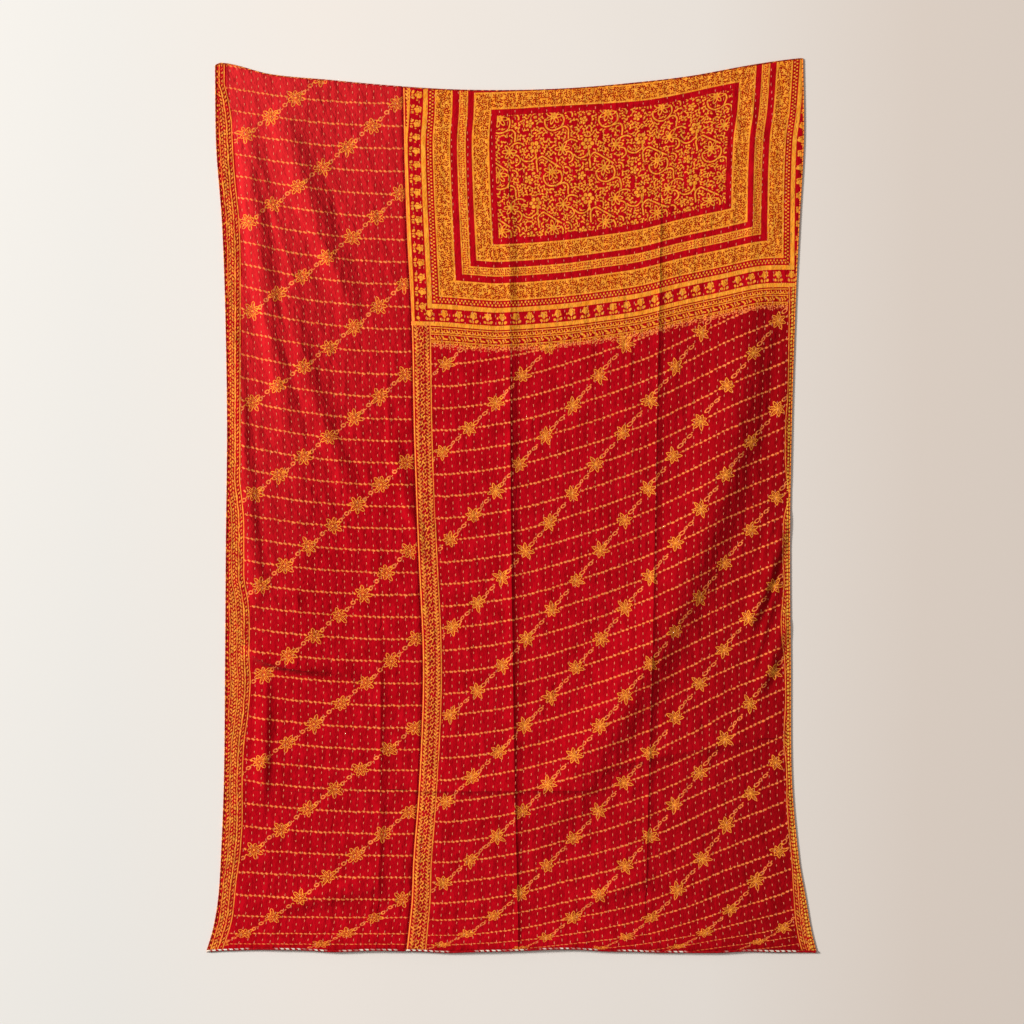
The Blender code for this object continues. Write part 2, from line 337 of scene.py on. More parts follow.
def field_rows(cloth, across, down):
    """The number of the dotted row at each place, from 0 at the top, whole on the row."""
    far = np.clip((across - DROP_FROM) / DROP_OVER, 0, 1)
    right_drop = read_curve(RIGHT_DROP_AT, RIGHT_DROP, down) * far
    down = np.interp(down, FOOT_LIES, FOOT_PRINTED)
    if cloth is LEFT_CLOTH:
        s = (across - BOW_FROM) / BOW_OVER
        swing = read_curve(LEFT_SWING_AT, LEFT_SWING, down)
        drop = read_curve(LEFT_DROP_AT, LEFT_DROP, down)
        bowed = swing * (1 - (1 - s) ** 2 - BOW_LEVEL)
        return (down - drop - LEFT_FIRST_ROW - bowed) / LEFT_ROW_PITCH
    down = down - right_drop - read_curve(RIGHT_RISE_AT, RIGHT_RISE, across)
    return np.interp(down, RIGHT_ROWS_DOWN, RIGHT_ROWS)


def field_places(cloth, x, y):
    """Millimetres across from a flower on row 0, the row number and the row's slope."""
    across, down = measured_at(x, y)
    rows = field_rows(cloth, across, down)
    aside = field_rows(cloth, across + 1, down) - field_rows(cloth, across - 1, down)
    below = field_rows(cloth, across, down + 1) - field_rows(cloth, across, down - 1)
    if cloth is LEFT_CLOTH:
        start = LEFT_CHAIN_START + read_curve(LEFT_SHIFT_AT, LEFT_SHIFT, down)
    else:
        near = read_curve(RIGHT_SHIFT_AT, RIGHT_SHIFT_NEAR, down)
        far = read_curve(RIGHT_SHIFT_AT, RIGHT_SHIFT_FAR, down)
        over = np.clip((across - SHIFT_FROM) / SHIFT_OVER, 0, 1)
        start = RIGHT_CHAIN_START + RIGHT_CHAINS_PAST * CHAIN_SHIFT + near + (far - near) * over
    # Beyond the measured rows their number doesn't change any more, and they count as level.
    past_rows = below == 0
    slope = np.where(past_rows, 0.0, -aside / np.where(past_rows, 1.0, below))
    return np.stack([(across - start) * UNIT_MM, rows, slope], 1)


def pallu_places(x, y):
    """Millimetres right of and above the lower left corner of the pallu's middle panel."""
    across, down = measured_at(x, y)
    foot = PALLU_FOOT_DOWN + read_curve(PALLU_SKEW_AT, PALLU_FOOT_SKEW, across)
    top = PALLU_TOP_DOWN + read_curve(PALLU_TOP_SKEW_AT, PALLU_TOP_SKEW, across)
    up = (foot - down) * np.where(down < foot, PALLU_TALL / (foot - top), 1)
    up = np.where(down < top, PALLU_TALL + top - down, up)
    left = read_curve(PALLU_LEFT_AT, PALLU_LEFT, down)
    right = read_curve(PALLU_RIGHT_AT, PALLU_RIGHT, down)
    aside = (across - left) * np.where(across > left, PALLU_WIDE / (right - left), 1)
    beyond = PALLU_WIDE + (across - right) / PALLU_RIGHT_SCALE
    aside = np.where(across > right, beyond, aside)
    return np.stack([aside * UNIT_MM, up * UNIT_MM, np.zeros_like(x)], 1)


def frame_distance(places):
    """Millimetres outwards from the pallu's middle panel: below nothing inside it."""
    p, q = places[:, 0], places[:, 1]
    aside = np.maximum(-p, p - PANEL_WIDE_MM)
    return np.maximum(aside, np.maximum(-q, q - PANEL_TALL_MM))


# ---------------------------------------------------------------- cloth meshes

LINE_MARGIN_MM, MID_STRIP_MM = 3.0, 49.0
PALLU_EDGE_MM, PANEL_EDGE_MM = 231.0, 8.0
FIELD, STRIP, FRAMES, PANEL, RIGHT_STRIP, REVERSE = 0, 1, 2, 3, 4, 5


def new_object(name, mesh):
    thing = bpy.data.objects.new(name, mesh)
    bpy.context.collection.objects.link(thing)
    return thing


def mesh_of(build, name):
    """A mesh of what was built, which isn't needed any more after this."""
    mesh = bpy.data.meshes.new(name)
    build.to_mesh(mesh)
    build.free()
    return mesh


def smooth(mesh):
    mesh.polygons.foreach_set("use_smooth", np.ones(len(mesh.polygons), bool))


SHEET_LAYERS = ("column", "row", "top")
PRESSED_LINES = ("press_middle", "press_right", "press_left")
PULLED_LINES = ("pinch_lip", "fold_across", "crease_across")


def blank_sheet(name, columns, rows):
    """A closed flat sheet that keeps on each point its column, its row and if it's on top."""
    sheet = bmesh.new()
    bmesh.ops.create_grid(sheet, x_segments=columns, y_segments=rows, size=0.5)
    column_of, row_of, top_of = (sheet.verts.layers.float.new(kind) for kind in SHEET_LAYERS)
    for vertex in sheet.verts:
        vertex[column_of] = round((vertex.co.x + 0.5) * columns)
        vertex[row_of] = round((vertex.co.y + 0.5) * rows)
    raised = bmesh.ops.extrude_face_region(sheet, geom=sheet.faces[:])
    for item in raised["geom"]:
        if isinstance(item, bmesh.types.BMVert):
            item[top_of] = 1.0
            item.co.z += 0.01
    bmesh.ops.recalc_face_normals(sheet, faces=sheet.faces[:])
    return new_object(name, mesh_of(sheet, name))


def read_layer(mesh, name):
    values = np.empty(len(mesh.vertices), np.float32)
    mesh.attributes[name].data.foreach_get("value", values)
    return values.astype(float)


def keep_places(mesh, name, places):
    """Keeps a place in the print on each point, for a material to read."""
    layer = mesh.attributes.new(name, "FLOAT_VECTOR", "POINT")
    layer.data.foreach_set("vector", places.astype(np.float32).ravel())


def set_points(mesh, points):
    mesh.vertices.foreach_set("co", points.astype(np.float32).ravel())
    mesh.update()


def corners_of(mesh):
    """The four points of each face."""
    corners = np.empty(len(mesh.loops), np.int32)
    mesh.loops.foreach_get("vertex_index", corners)
    return corners.reshape(-1, 4)


def make_cloth(cloth, materials):
    """One printed panel: a thin closed sheet on its folds, puffed between its stitches."""
    columns = cloth.ribs * COLUMNS_PER_RIB
    thing = blank_sheet(cloth.name, columns, CLOTH_ROWS)
    mesh = thing.data
    column, row, top = (read_layer(mesh, name) for name in SHEET_LAYERS)
    along = (row / CLOTH_ROWS - 0.5) * LENGTH
    x, y, lift, thickness = cloth_points(cloth, column / COLUMNS_PER_RIB, along)
    end = np.minimum(row, CLOTH_ROWS - row)
    thickness -= HEM_THINNER * (end < 1)
    set_points(mesh, np.stack([x, y, lift + thickness * top], 1))
    pallu = pallu_places(x, y)
    strip = strip_places(cloth, column / columns, x, y)
    keep_places(mesh, "print_at", field_places(cloth, x, y))
    keep_places(mesh, "pallu_at", pallu)
    keep_places(mesh, "strip_at", strip)
    keep_places(mesh, "crease_at", crease_places(x, y, PRESSED_LINES))
    keep_places(mesh, "pull_at", crease_places(x, y, PULLED_LINES))
    corners = corners_of(mesh)
    kind = print_of_faces(cloth, strip[corners].mean(1), frame_distance(pallu)[corners].mean(1))
    kind = np.where(top[corners].min(1) > 0.5, kind, REVERSE)
    order = sorted(set(kind.tolist()))
    for number in order:
        mesh.materials.append(materials[number])
    slots = np.searchsorted(order, kind).astype(np.int32)
    mesh.polygons.foreach_set("material_index", slots)
    smooth(mesh)
    for name in SHEET_LAYERS:
        mesh.attributes.remove(mesh.attributes[name])
    return thing


def crease_places(x, y, names):
    """Millimetres beyond the crests of three creases, below nothing on their low sides."""
    places = []
    for name in names:
        crease = next(c for c in CREASES if c.name == name)
        nearest, _, high = crest_distance(crease, x, y)
        places.append(np.where(high, nearest, -nearest) * 1000)
    return np.stack(places, 1)


def strip_places(cloth, share, x, y):
    """Millimetres outwards from an edge border's inner line, along it, and from the seam."""
    across, down = measured_at(x, y)
    if cloth is LEFT_CLOTH:
        outwards = read_curve(LEFT_LINE_DOWN, LEFT_LINE, down) - across
    else:
        outwards = across - read_curve(RIGHT_LINE_DOWN, RIGHT_LINE, down)
    from_seam = share * 1000 * cloth.flat_width
    if cloth is RIGHT_CLOTH:
        narrower = MID_STRIP_MM / read_curve(MID_STRIP_AT, MID_STRIP_WIDE, down)
        from_seam = np.where(from_seam < 80, from_seam * narrower, from_seam)
    return np.stack([outwards * UNIT_MM, y * 1000, from_seam], 1)


def print_of_faces(cloth, strip, outwards):
    """Which print each face of the upper side carries."""
    kind = np.where(strip[:, 0] > -LINE_MARGIN_MM, STRIP, FIELD)
    if cloth is LEFT_CLOTH:
        return kind
    kind = np.where(kind == STRIP, RIGHT_STRIP, FIELD)
    kind = np.where(strip[:, 2] < MID_STRIP_MM, STRIP, kind)
    kind = np.where(outwards < PALLU_EDGE_MM, FRAMES, kind)
    return np.where(outwards < PANEL_EDGE_MM, PANEL, kind)


# ---------------------------------------------------------------- numbers worked out by nodes


def feed(tree, value, socket):
    """Links a worked-out value to a socket, or sets the socket to a plain number."""
    if isinstance(value, (Value, Place)):
        tree.links.new(value.socket, socket)
    else:
        socket.default_value = value


class Value:
    """A number worked out at each point of a surface by Math nodes."""

    def __init__(self, tree, socket):
        self.tree = tree
        self.socket = socket

    def math(self, operation, *others, clamp=False):
        node = self.tree.nodes.new("ShaderNodeMath")
        node.operation = operation
        node.use_clamp = clamp
        for value, socket in zip((self, *others), node.inputs):
            feed(self.tree, value, socket)
        return Value(self.tree, node.outputs[0])

    def __add__(self, other):
        return self.math("ADD", other)

    __radd__ = __add__

    def __sub__(self, other):
        return self.math("SUBTRACT", other)

    def __rsub__(self, other):
        return self.math("MULTIPLY_ADD", -1.0, other)

    def __mul__(self, other):
        return self.math("MULTIPLY", other)

    __rmul__ = __mul__

    def __truediv__(self, other):
        return self.math("DIVIDE", other)

    def wrap(self, half):
        """The value counted from the nearest whole multiple of twice the half."""
        return self.math("WRAP", half, -half)


def size(value):
    return value.math("ABSOLUTE")


def least(first, *others):
    for other in others:
        first = first.math("MINIMUM", other)
    return first


def most(first, *others):
    for other in others:
        first = first.math("MAXIMUM", other)
    return first


class Place:
    """A point of the print in millimetres, as a vector that nodes work out."""

    def __init__(self, tree, socket):
        self.tree = tree
        self.socket = socket
        self.parts = None

    def part(self, number):
        if self.parts is None:
            node = self.tree.nodes.new("ShaderNodeSeparateXYZ")
            self.tree.links.new(self.socket, node.inputs[0])
            self.parts = [Value(self.tree, socket) for socket in node.outputs]
        return self.parts[number]

    @property
    def x(self):
        return self.part(0)

    @property
    def y(self):
        return self.part(1)

    @property
    def z(self):
        return self.part(2)

    def vector_math(self, operation, *others):
        node = self.tree.nodes.new("ShaderNodeVectorMath")
        node.operation = operation
        for value, socket in zip((self, *others), node.inputs):
            feed(self.tree, value, socket)
        return node

    def moved(self, operation, *others):
        """The place that the operation makes of this one."""
        return Place(self.tree, self.vector_math(operation, *others).outputs[0])

    def length(self):
        return Value(self.tree, self.vector_math("LENGTH").outputs["Value"])

    def plus(self, other):
        return self.moved("ADD", other)

    def minus(self, other):
        return self.moved("SUBTRACT", other)

    def times(self, other):
        return self.moved("MULTIPLY", other)

    def repeated(self, wide, tall):
        """The place within the nearest of a field of tiles, from the middle of its tile."""
        half = (wide / 2, tall / 2, 1)
        minus = (-wide / 2, -tall / 2, -1)
        return self.moved("WRAP", half, minus)

    def seen_from(self, x, y, turn=0.0, wide=1.0, tall=1.0):
        """The place counted from another point, along turned axes and in other lengths."""
        node = self.tree.nodes.new("ShaderNodeMapping")
        node.vector_type = "TEXTURE"
        feed(self.tree, self, node.inputs["Vector"])
        node.inputs["Location"].default_value = (x, y, 0)
        node.inputs["Rotation"].default_value = (0, 0, turn)
        node.inputs["Scale"].default_value = (wide, tall, 1)
        return Place(self.tree, node.outputs[0])


def place_of(x, y, z=0.0):
    node = x.tree.nodes.new("ShaderNodeCombineXYZ")
    for value, socket in zip((x, y, z), node.inputs):
        feed(x.tree, value, socket)
    return Place(x.tree, node.outputs[0])


def own_place(tree):
    """The place on the object itself, in metres."""
    coords = tree.nodes.new("ShaderNodeTexCoord")
    return Place(tree, coords.outputs["Object"])


def kept_place(tree, name):
    """A place that is kept on the points of the mesh."""
    node = tree.nodes.new("ShaderNodeAttribute")
    node.attribute_name = name
    return Place(tree, node.outputs["Vector"])


def cloudy(place, scale, detail=2.0, rough=0.5, stretch=(1, 1, 1)):
    """Soft noise about 0.5."""
    node = place.tree.nodes.new("ShaderNodeTexNoise")
    node.inputs["Scale"].default_value = scale
    node.inputs["Detail"].default_value = detail
    node.inputs["Roughness"].default_value = rough
    if stretch != (1, 1, 1):
        place = place.times(stretch)
    feed(place.tree, place, node.inputs["Vector"])
    return Value(place.tree, node.outputs["Fac"])


def chance(x, y):
    """A number from 0 to 1 that is as good as random, for each pair of whole numbers."""
    node = x.tree.nodes.new("ShaderNodeTexWhiteNoise")
    node.noise_dimensions = "2D"
    feed(x.tree, place_of(x, y), node.inputs["Vector"])
    return Value(x.tree, node.outputs["Value"])


def scattered(place, pitch, looseness=0.85):
    """The place counted from the nearest of many scattered points, each turned its own way."""
    tree = place.tree
    cells = tree.nodes.new("ShaderNodeTexVoronoi")
    cells.voronoi_dimensions = "2D"
    cells.inputs["Scale"].default_value = 1 / pitch
    cells.inputs["Randomness"].default_value = looseness
    feed(tree, place, cells.inputs["Vector"])
    offset = place.minus(Place(tree, cells.outputs["Position"]))
    lot = Place(tree, cells.outputs["Color"])
    turn = tree.nodes.new("ShaderNodeVectorRotate")
    turn.rotation_type = "Z_AXIS"
    feed(tree, offset, turn.inputs["Vector"])
    feed(tree, lot.x * (2 * pi), turn.inputs["Angle"])
    return Place(tree, turn.outputs[0])


# ---------------------------------------------------------------- shapes of the print
# Each gives the distance in millimetres from its outline, below nothing inside the shape.


def blob(place, x, y, wide, tall, turn=0.0):
    """A filled oval."""
    return (place.seen_from(x, y, turn, wide, tall).length() - 1) * min(wide, tall)


def hoop(place, x, y, wide, tall, line, turn=0.0):
    """An oval drawn as a line."""
    reach = place.seen_from(x, y, turn, wide, tall).length() - 1
    return size(reach) * min(wide, tall) - line / 2


def arc(place, x, y, radius, start, end, line):
    """A line along part of a circle, between two angles in degrees."""
    middle, half = radians(start + end) / 2, radians(end - start) / 2
    local = place.seen_from(x, y, middle, radius, radius)
    reach = local.length()
    ring = size(reach - 1) * radius - line / 2
    return most(ring, (reach * cos(half) - local.x) * radius)


def stroke(place, x0, y0, x1, y1, line):
    """A straight line with round ends, from one point to another."""
    turn, half = atan2(y1 - y0, x1 - x0), hypot(x1 - x0, y1 - y0) / 2
    local = place.seen_from((x0 + x1) / 2, (y0 + y1) / 2, turn)
    beyond = most(size(local.x) - half, 0.0)
    return place_of(beyond, local.y).length() - line / 2


def straight(x, middle, line):
    return size(x - middle) - line / 2


def band(x, low, high):
    return size(x - (low + high) / 2) - (high - low) / 2


def inked(distance, soft=0.5):
    """How much ink lies at a place: 1 inside the shape, 0 beyond its soft edge."""
    return distance.math("MULTIPLY_ADD", -1.0 / soft, 0.5, clamp=True)


# ---------------------------------------------------------------- materials of the cloth


def ink_colour(red, green, blue):
    """A colour given as it looks on a screen, from 0 to 255, made ready for a shader."""
    levels = [c / 255 for c in (red, green, blue)]
    return (*[c / 12.92 if c <= 0.04045 else ((c + 0.055) / 1.055) ** 2.4 for c in levels], 1.0)


RED, DEEP_RED, DARK_RED = ink_colour(194, 4, 24), ink_colour(170, 0, 14), ink_colour(132, 2, 8)
# The maroon is painted shade: on the foot hem's outer side, and in the right edge's whip thread.
# The paler red is painted light, for the top left of the field where the light falls.
PAINTED_LIGHT_RED, SHADE_MAROON = ink_colour(218, 40, 44), ink_colour(84, 4, 8)
ORANGE, RUST = ink_colour(255, 152, 82), ink_colour(242, 116, 50)
BRIGHT, MUSTARD = ink_colour(255, 172, 60), ink_colour(242, 139, 30)
YELLOW, FLOWER = ink_colour(255, 188, 66), ink_colour(255, 160, 54)
CREAM, PALE_CREAM = ink_colour(222, 208, 186), ink_colour(244, 234, 220)
THREAD, THREAD_SHADE = ink_colour(255, 172, 124), ink_colour(240, 130, 94)
THREAD_OVER_INK, FILIGREE_RED = ink_colour(240, 152, 48), ink_colour(162, 4, 4)
PALE_WHIP, BROWN_WHIP = ink_colour(226, 150, 140), ink_colour(120, 30, 16)
FLOOR_SHADE, FLOOR_PALE = ink_colour(236, 229, 222), ink_colour(240, 234, 228)
FLOOR_COOL_LIGHT, FLOOR_WARM_SHADE = ink_colour(231, 229, 225), ink_colour(230, 218, 208)
WEAVE_MM, TWIST_PITCH = 1.1, 0.0009


def blended(tree, share, low, high):
    """A colour between two others, by a share from 0 to 1."""
    node = tree.nodes.new("ShaderNodeMix")
    node.data_type = "RGBA"
    feed(tree, share, node.inputs["Factor"])
    colour_sockets = [socket for socket in node.inputs if socket.type == "RGBA"]
    for value, socket in zip((low, high), colour_sockets):
        if isinstance(value, tuple):
            socket.default_value = value
        else:
            tree.links.new(value, socket)
    return next(socket for socket in node.outputs if socket.type == "RGBA")


def new_material(name):
    material = bpy.data.materials.new(name)
    material.use_nodes = True
    return material, material.node_tree, material.node_tree.nodes["Principled BSDF"]


def give_bumps(tree, shader, height, distance):
    """Makes the surface look raised by the height, in units of the distance."""
    bump = tree.nodes.new("ShaderNodeBump")
    bump.inputs["Strength"].default_value = 1.0
    bump.inputs["Distance"].default_value = distance
    feed(tree, height, bump.inputs["Height"])
    tree.links.new(bump.outputs["Normal"], shader.inputs["Normal"])


def cotton(tree, shader, place, creased):
    """The cotton itself: a fine weave, puckers, pressed creases and a soft sheen."""
    shader.inputs["Specular IOR Level"].default_value = 0.10
    shader.inputs["Specular Tint"].default_value = (1.0, 0.40, 0.34, 1.0)
    shader.inputs["Sheen Weight"].default_value = 0.10
    shader.inputs["Sheen Roughness"].default_value = 0.5
    shader.inputs["Sheen Tint"].default_value = (1.0, 0.22, 0.16, 1.0)
    warp = (place.x * (2 * pi / WEAVE_MM)).math("SINE")
    weft = (place.y * (2 * pi / WEAVE_MM)).math("SINE")
    pucker = cloudy(place, 0.12, 3.0, 0.65, (1.0, 0.45, 1.0))
    crumple = cloudy(place, 0.028, 4.0, 0.6, (1.0, 0.6, 1.0))
    height = warp * weft * 0.05 + pucker * 2.4 + crumple * 5.0
    if creased:
        height = height + drag_wrinkles(place) + pressed_creases(tree, place)
    give_bumps(tree, shader, height, 0.001)
    feed(tree, pucker * 0.2 + 0.76, shader.inputs["Roughness"])


def drag_wrinkles(place):
    """Short slanting wrinkles, most of them where the upper left of the quilt was pulled."""
    along = place.seen_from(0, 0, radians(-62))
    wrinkle = cloudy(along, 0.050, 3.0, 0.6, (0.24, 1.0, 1.0))
    left = (place.x * -0.0030).math("ADD", -0.35, clamp=True)
    upper = (place.y * 0.0016).math("ADD", 0.85, clamp=True)
    return wrinkle * (left * upper * 5.0 + 1.4)


def pressed_creases(tree, place):
    """The falls beside pressed lines: the cloth stays level up to a line and drops beyond it."""
    pressed, pulled = kept_place(tree, "crease_at"), kept_place(tree, "pull_at")
    lower = (place.y * -0.0016).math("ADD", 0.10, clamp=True)
    thin = (place.y * -0.004).math("ADD", 1.6, clamp=True)
    falls = (
        (pressed.x, 8.0, thin * 3.2),
        (pressed.x, 34.0, 4.6 - lower * 3.2),
        (pressed.y, 7.0, 1.8),
        (pressed.y, 26.0, 2.0),
        (pressed.z, 26.0, 2.4),
        (pulled.x * -1.0, 16.0, (place.x * -0.010).math("ADD", -4.5, clamp=True) * 9.0),
        (pulled.y * -1.0, 15.0, (place.x * -0.010).math("ADD", 2.6, clamp=True) * 5.0),
        (pulled.z * -1.0, 22.0, (place.x * 0.010).math("ADD", -1.6, clamp=True) * 2.0),
    )
    height = None
    for beyond, wide, drop in falls:
        left = beyond.math("MAXIMUM", 0.0).math("MULTIPLY_ADD", -1 / wide, 1.0, clamp=True)
        fall = left * left * drop
        height = fall if height is None else height + fall
    return height


def print_material(name, draw, creased=True):
    """A printed cotton: draw gives the ink's share and the colours under and in it."""
    material, tree, shader = new_material(name)
    ink, ground, colour = draw(tree)
    tree.links.new(blended(tree, ink, ground, colour), shader.inputs["Base Color"])
    cotton(tree, shader, own_place(tree).times((1000, 1000, 1000)), creased)
    return material


def worn(tree, place, low, high, scale=0.06, sharp=3.0):
    """A colour that drifts between two others, as dye does in washed cloth."""
    drift = cloudy(place, scale, 4.0, 0.65)
    drift = drift.math("MULTIPLY_ADD", sharp, 0.5 - 0.5 * sharp, clamp=True)
    return blended(tree, drift, low, high)


def pallu_line(tree):
    """The thick orange line at the pallu's foot, for the prints that meet it."""
    return band(kept_place(tree, "pallu_at").y * -1.0, 226, 236)


def ragged(distance, place, by=1.2):
    """The same shape with the slightly uneven edge that a printing block leaves."""
    return distance + (cloudy(place, 0.45, 2.0) - 0.5) * by


def wandering(place, by, scale=0.05):
    """The place pushed about a little, for a print that doesn't lie quite straight."""
    push = cloudy(place, scale, 2.0) - 0.5
    return place.plus(place_of(push * by, push * -by))


def field_red(tree, place):
    """The field's red: mottled, with painted light at the top left and painted shade at the right.
    """
    lies = own_place(tree)
    fresh = worn(tree, place, DEEP_RED, RED, 0.02)
    # Painted light: a paler, pinker red where the light falls at the top left.
    painted_light_share = (lies.y * 0.55 - lies.x * 0.9).math("ADD", -0.35, clamp=True)
    # Painted shade: a darker red towards the right, where the light falls off.
    painted_shade_share = (lies.x * 1.3 - 0.30).math("ADD", 0.0, clamp=True)
    ground = blended(tree, painted_light_share, fresh, PAINTED_LIGHT_RED)
    return blended(tree, painted_shade_share, ground, DARK_RED)


ROW_MM, CHAIN_SHIFT_MM, CHAIN_PITCH_MM = 57.2, 65.3, 260.9


def field_print(right):
    """The main field: dotted rows, with star flowers in slanting chains."""

    def draw(tree):
        place = kept_place(tree, "print_at")
        across, rows, slope = place.x, place.y, place.z
        row = rows.math("ROUND")
        from_row = (rows - row) * ROW_MM
        from_chain = across + row * CHAIN_SHIFT_MM
        aside = from_chain.wrap(CHAIN_PITCH_MM / 2)
        flower = place_of(aside, slope * aside + from_row)
        pitch = 10.8 if right else 11.9
        dashes = dotted_row(across, row, from_row, flower, pitch)
        stars = star_flower(flower, row, from_chain - aside, 2 if right else 4)
        above = rows.math("FLOOR") + 0.5
        aside = (across + above * CHAIN_SHIFT_MM).wrap(CHAIN_PITCH_MM / 2)
        link = place_of(aside, slope * aside + (rows - above) * ROW_MM)
        links = vine_link(link) if right else bead_link(link)
        drift = place_of(across, rows * ROW_MM)
        shape = least(dashes, ragged(least(stars, links), drift, 1.2))
        colour = worn(tree, drift, RUST, ORANGE, 0.09)
        colour = blended(tree, inked(flower.length() - 24.0, 4.0), colour, FLOWER)
        lit = cloudy(drift, 0.05, 2.0).math("MULTIPLY_ADD", 5.0, -2.4, clamp=True)
        colour = blended(tree, inked(flower.length() - 8.0, 8.0) * lit, colour, BRIGHT)
        ground = field_red(tree, drift)
        if right:
            rows_shape, reach = fine_rows(tree)
            shape = least(most(shape, reach * -1.0), rows_shape)
            within = inked(reach, 4.0)
            colour = blended(tree, within, colour, worn(tree, drift, MUSTARD, BRIGHT, 0.09))
            ground = blended(tree, within, ground, DEEP_RED)
        return inked(ragged(shape, drift, 0.8)), ground, colour

    return draw


def dotted_row(across, row, from_row, flower, pitch):
    """Slanted dashes joined in a row, that stops short of each flower."""
    number = (across / pitch).math("ROUND")
    lot = chance(number, row)
    aside = across.wrap(pitch / 2) * (lot * 0.5 + 0.78)
    local = place_of(aside, from_row + lot * 2.0 - 1.0)
    dash = least(blob(local, 0, 0, 4.0, 2.4, radians(28)), size(local.y) - 0.3)
    return most(dash, 19.0 - flower.length())


def star_flower(flower, row, chain, roundness):
    """A star of seven petals, each drawn in outline with a vein, about a small knot."""
    petals = 7
    lot = chance(row, chain.math("ROUND"))
    angle = flower.y.math("ARCTAN2", flower.x) + lot * 0.9
    petal = (angle * (petals / (2 * pi))).math("ROUND")
    aside = angle - petal * (2 * pi / petals)
    longer = chance(petal, row + chain) * 0.50 + 0.68
    reach = flower.length()
    along = reach * aside.math("COSINE") / longer
    across = size(reach * aside.math("SINE"))
    t = size((along - 12.0) / 11.0)
    edge = (1 - t.math("POWER", roundness)) * 3.9 - across
    outline = most(size(edge) - 0.95, t * 11.0 - 11.8)
    vein = most(across - 0.6, size(along - 10.0) - 5.0)
    return least(outline, vein, reach - 2.6)


def bead_link(link):
    """Hollow beads with broken curls between them, from one left-hand flower to the next."""
    local = link.seen_from(0, 0, radians(-41))
    beads = least(
        hoop(local, -16.4, 1.4, 4.8, 3.8, 2.6, -0.3),
        hoop(local, 7.6, -1.0, 5.2, 4.0, 2.6, 0.3),
    )
    curls_between = least(
        arc(local, -5.4, -0.6, 3.4, 30, 210, 1.7),
        arc(local, 18.4, 1.2, 3.4, 200, 380, 1.7),
        blob(local, -24.4, -1.6, 2.2, 1.6, 0.4),
    )
    return least(beads, curls_between)


def vine_link(link):
    """Three hollow leaves one after another, from one right-hand flower towards the next."""
    local = link.seen_from(0, 0, radians(-47))
    return least(
        hoop(local, -24.0, 0.8, 7.6, 3.9, 1.9, 0.14),
        hoop(local, -8.4, -0.8, 5.2, 2.7, 1.8, -0.18),
        hoop(local, 8.8, 0.8, 6.4, 3.5, 2.0, 0.2),
        blob(local, 19.4, -1.0, 2.6, 1.5, 0.3),
    )


FINE_LINES = ((241.2, 2.4), (257.8, 2.4), (275.4, 2.2))


def fine_rows(tree):
    """The fine rows and leafy fringe under the pallu's foot line, and the ground they fill."""
    place = kept_place(tree, "pallu_at")
    along, down = place.x, place.y * -1.0
    flat = place_of(along, down)
    thin = least(*[straight(down, at, wide) for at, wide in FINE_LINES])
    scroll = place_of(along.wrap(6.6), down)
    scroll = least(arc(scroll, -1.6, 249.4, 4.0, -80, 230, 2.6), blob(scroll, 4.4, 251.6, 2.4, 2.4))
    scroll = most(scroll, band(down, 243.8, 255.6))
    turn = (along * (2 * pi / 33.0)).math("SINE")
    leaves = place_of((along + turn * 4.0).wrap(5.4), down + turn * 1.4)
    leaves = least(
        blob(leaves, -1.4, 264.4, 4.4, 2.0, 0.9),
        blob(leaves, 2.6, 269.2, 4.0, 1.9, -0.5),
    )
    leaves = most(leaves, band(down, 260.0, 273.4))
    spike = scattered(flat, 5.2, 0.7)
    lot = cloudy(flat, 0.11, 2.0, 0.6)
    fringe = most(blob(spike, 0, 0, 3.2, 1.6), 277.6 - down, down - (lot * 34.0 + 274.0))
    rows = least(scroll, thin, leaves, fringe)
    reach = most(down - 282.0, along * -1.0 - 195.0)
    return least(band(down, 226, 236.5), rows), reach


# Columns of leaves in a border: where each column lies, how far up it starts, and its leaves.
Leaf = namedtuple("Leaf", "middle start pitch wide tall turn")
MID_LINES = ((12.0, 1.7), (38.2, 1.6))
MID_LEAVES = (
    Leaf(9.2, 0, 9.6, 1.6, 3.2, 0.5),
    Leaf(15.0, 4.8, 9.6, 1.6, 3.2, -0.5),
    Leaf(35.2, 0, 9.2, 1.5, 3.2, 0.6),
    Leaf(41.2, 4.6, 9.2, 1.5, 3.2, -0.6),
)
LEFT_LINES = ((12.8, 3.0), (31.4, 2.1), (49.2, 2.1))
LEFT_LEAVES = (
    Leaf(5.8, 0, 10.4, 1.2, 3.2, 0.5),
    Leaf(19.2, 4.9, 9.8, 1.7, 3.8, -0.4),
    Leaf(25.6, 0, 9.8, 1.8, 3.8, 0.5),
    Leaf(37.2, 0, 9.8, 1.8, 3.9, 0.6),
    Leaf(43.4, 4.9, 9.8, 1.9, 3.9, -0.6),
    Leaf(55.2, 0, 9.8, 1.7, 3.6, 0.6),
    Leaf(61.6, 4.9, 9.8, 1.7, 3.6, -0.6),
)
LEFT_DOTS = Leaf(4.4, 0, 14.5, 1.8, 2.8, 0.4)
RIGHT_LINES = ((11.6, 2.0), (30.6, 2.0))
RIGHT_LEAVES = (
    Leaf(5.8, 0, 9.4, 1.5, 3.4, 0.5),
    Leaf(17.8, 4.7, 9.4, 2.0, 4.0, -0.5),
    Leaf(24.6, 0, 9.4, 2.2, 4.2, 0.5),
    Leaf(36.8, 4.7, 9.4, 2.0, 4.0, 0.5),
)
RIGHT_BEADS = Leaf(7.2, 0, 9.3, 2.6, 3.2, 0.3)


def leaf_column(s, t, leaf):
    """One leaf after another up a border."""
    if leaf.start:
        t = t + leaf.start
    local = place_of(s, t.wrap(leaf.pitch / 2))
    return blob(local, leaf.middle, 0, leaf.wide, leaf.tall, leaf.turn)


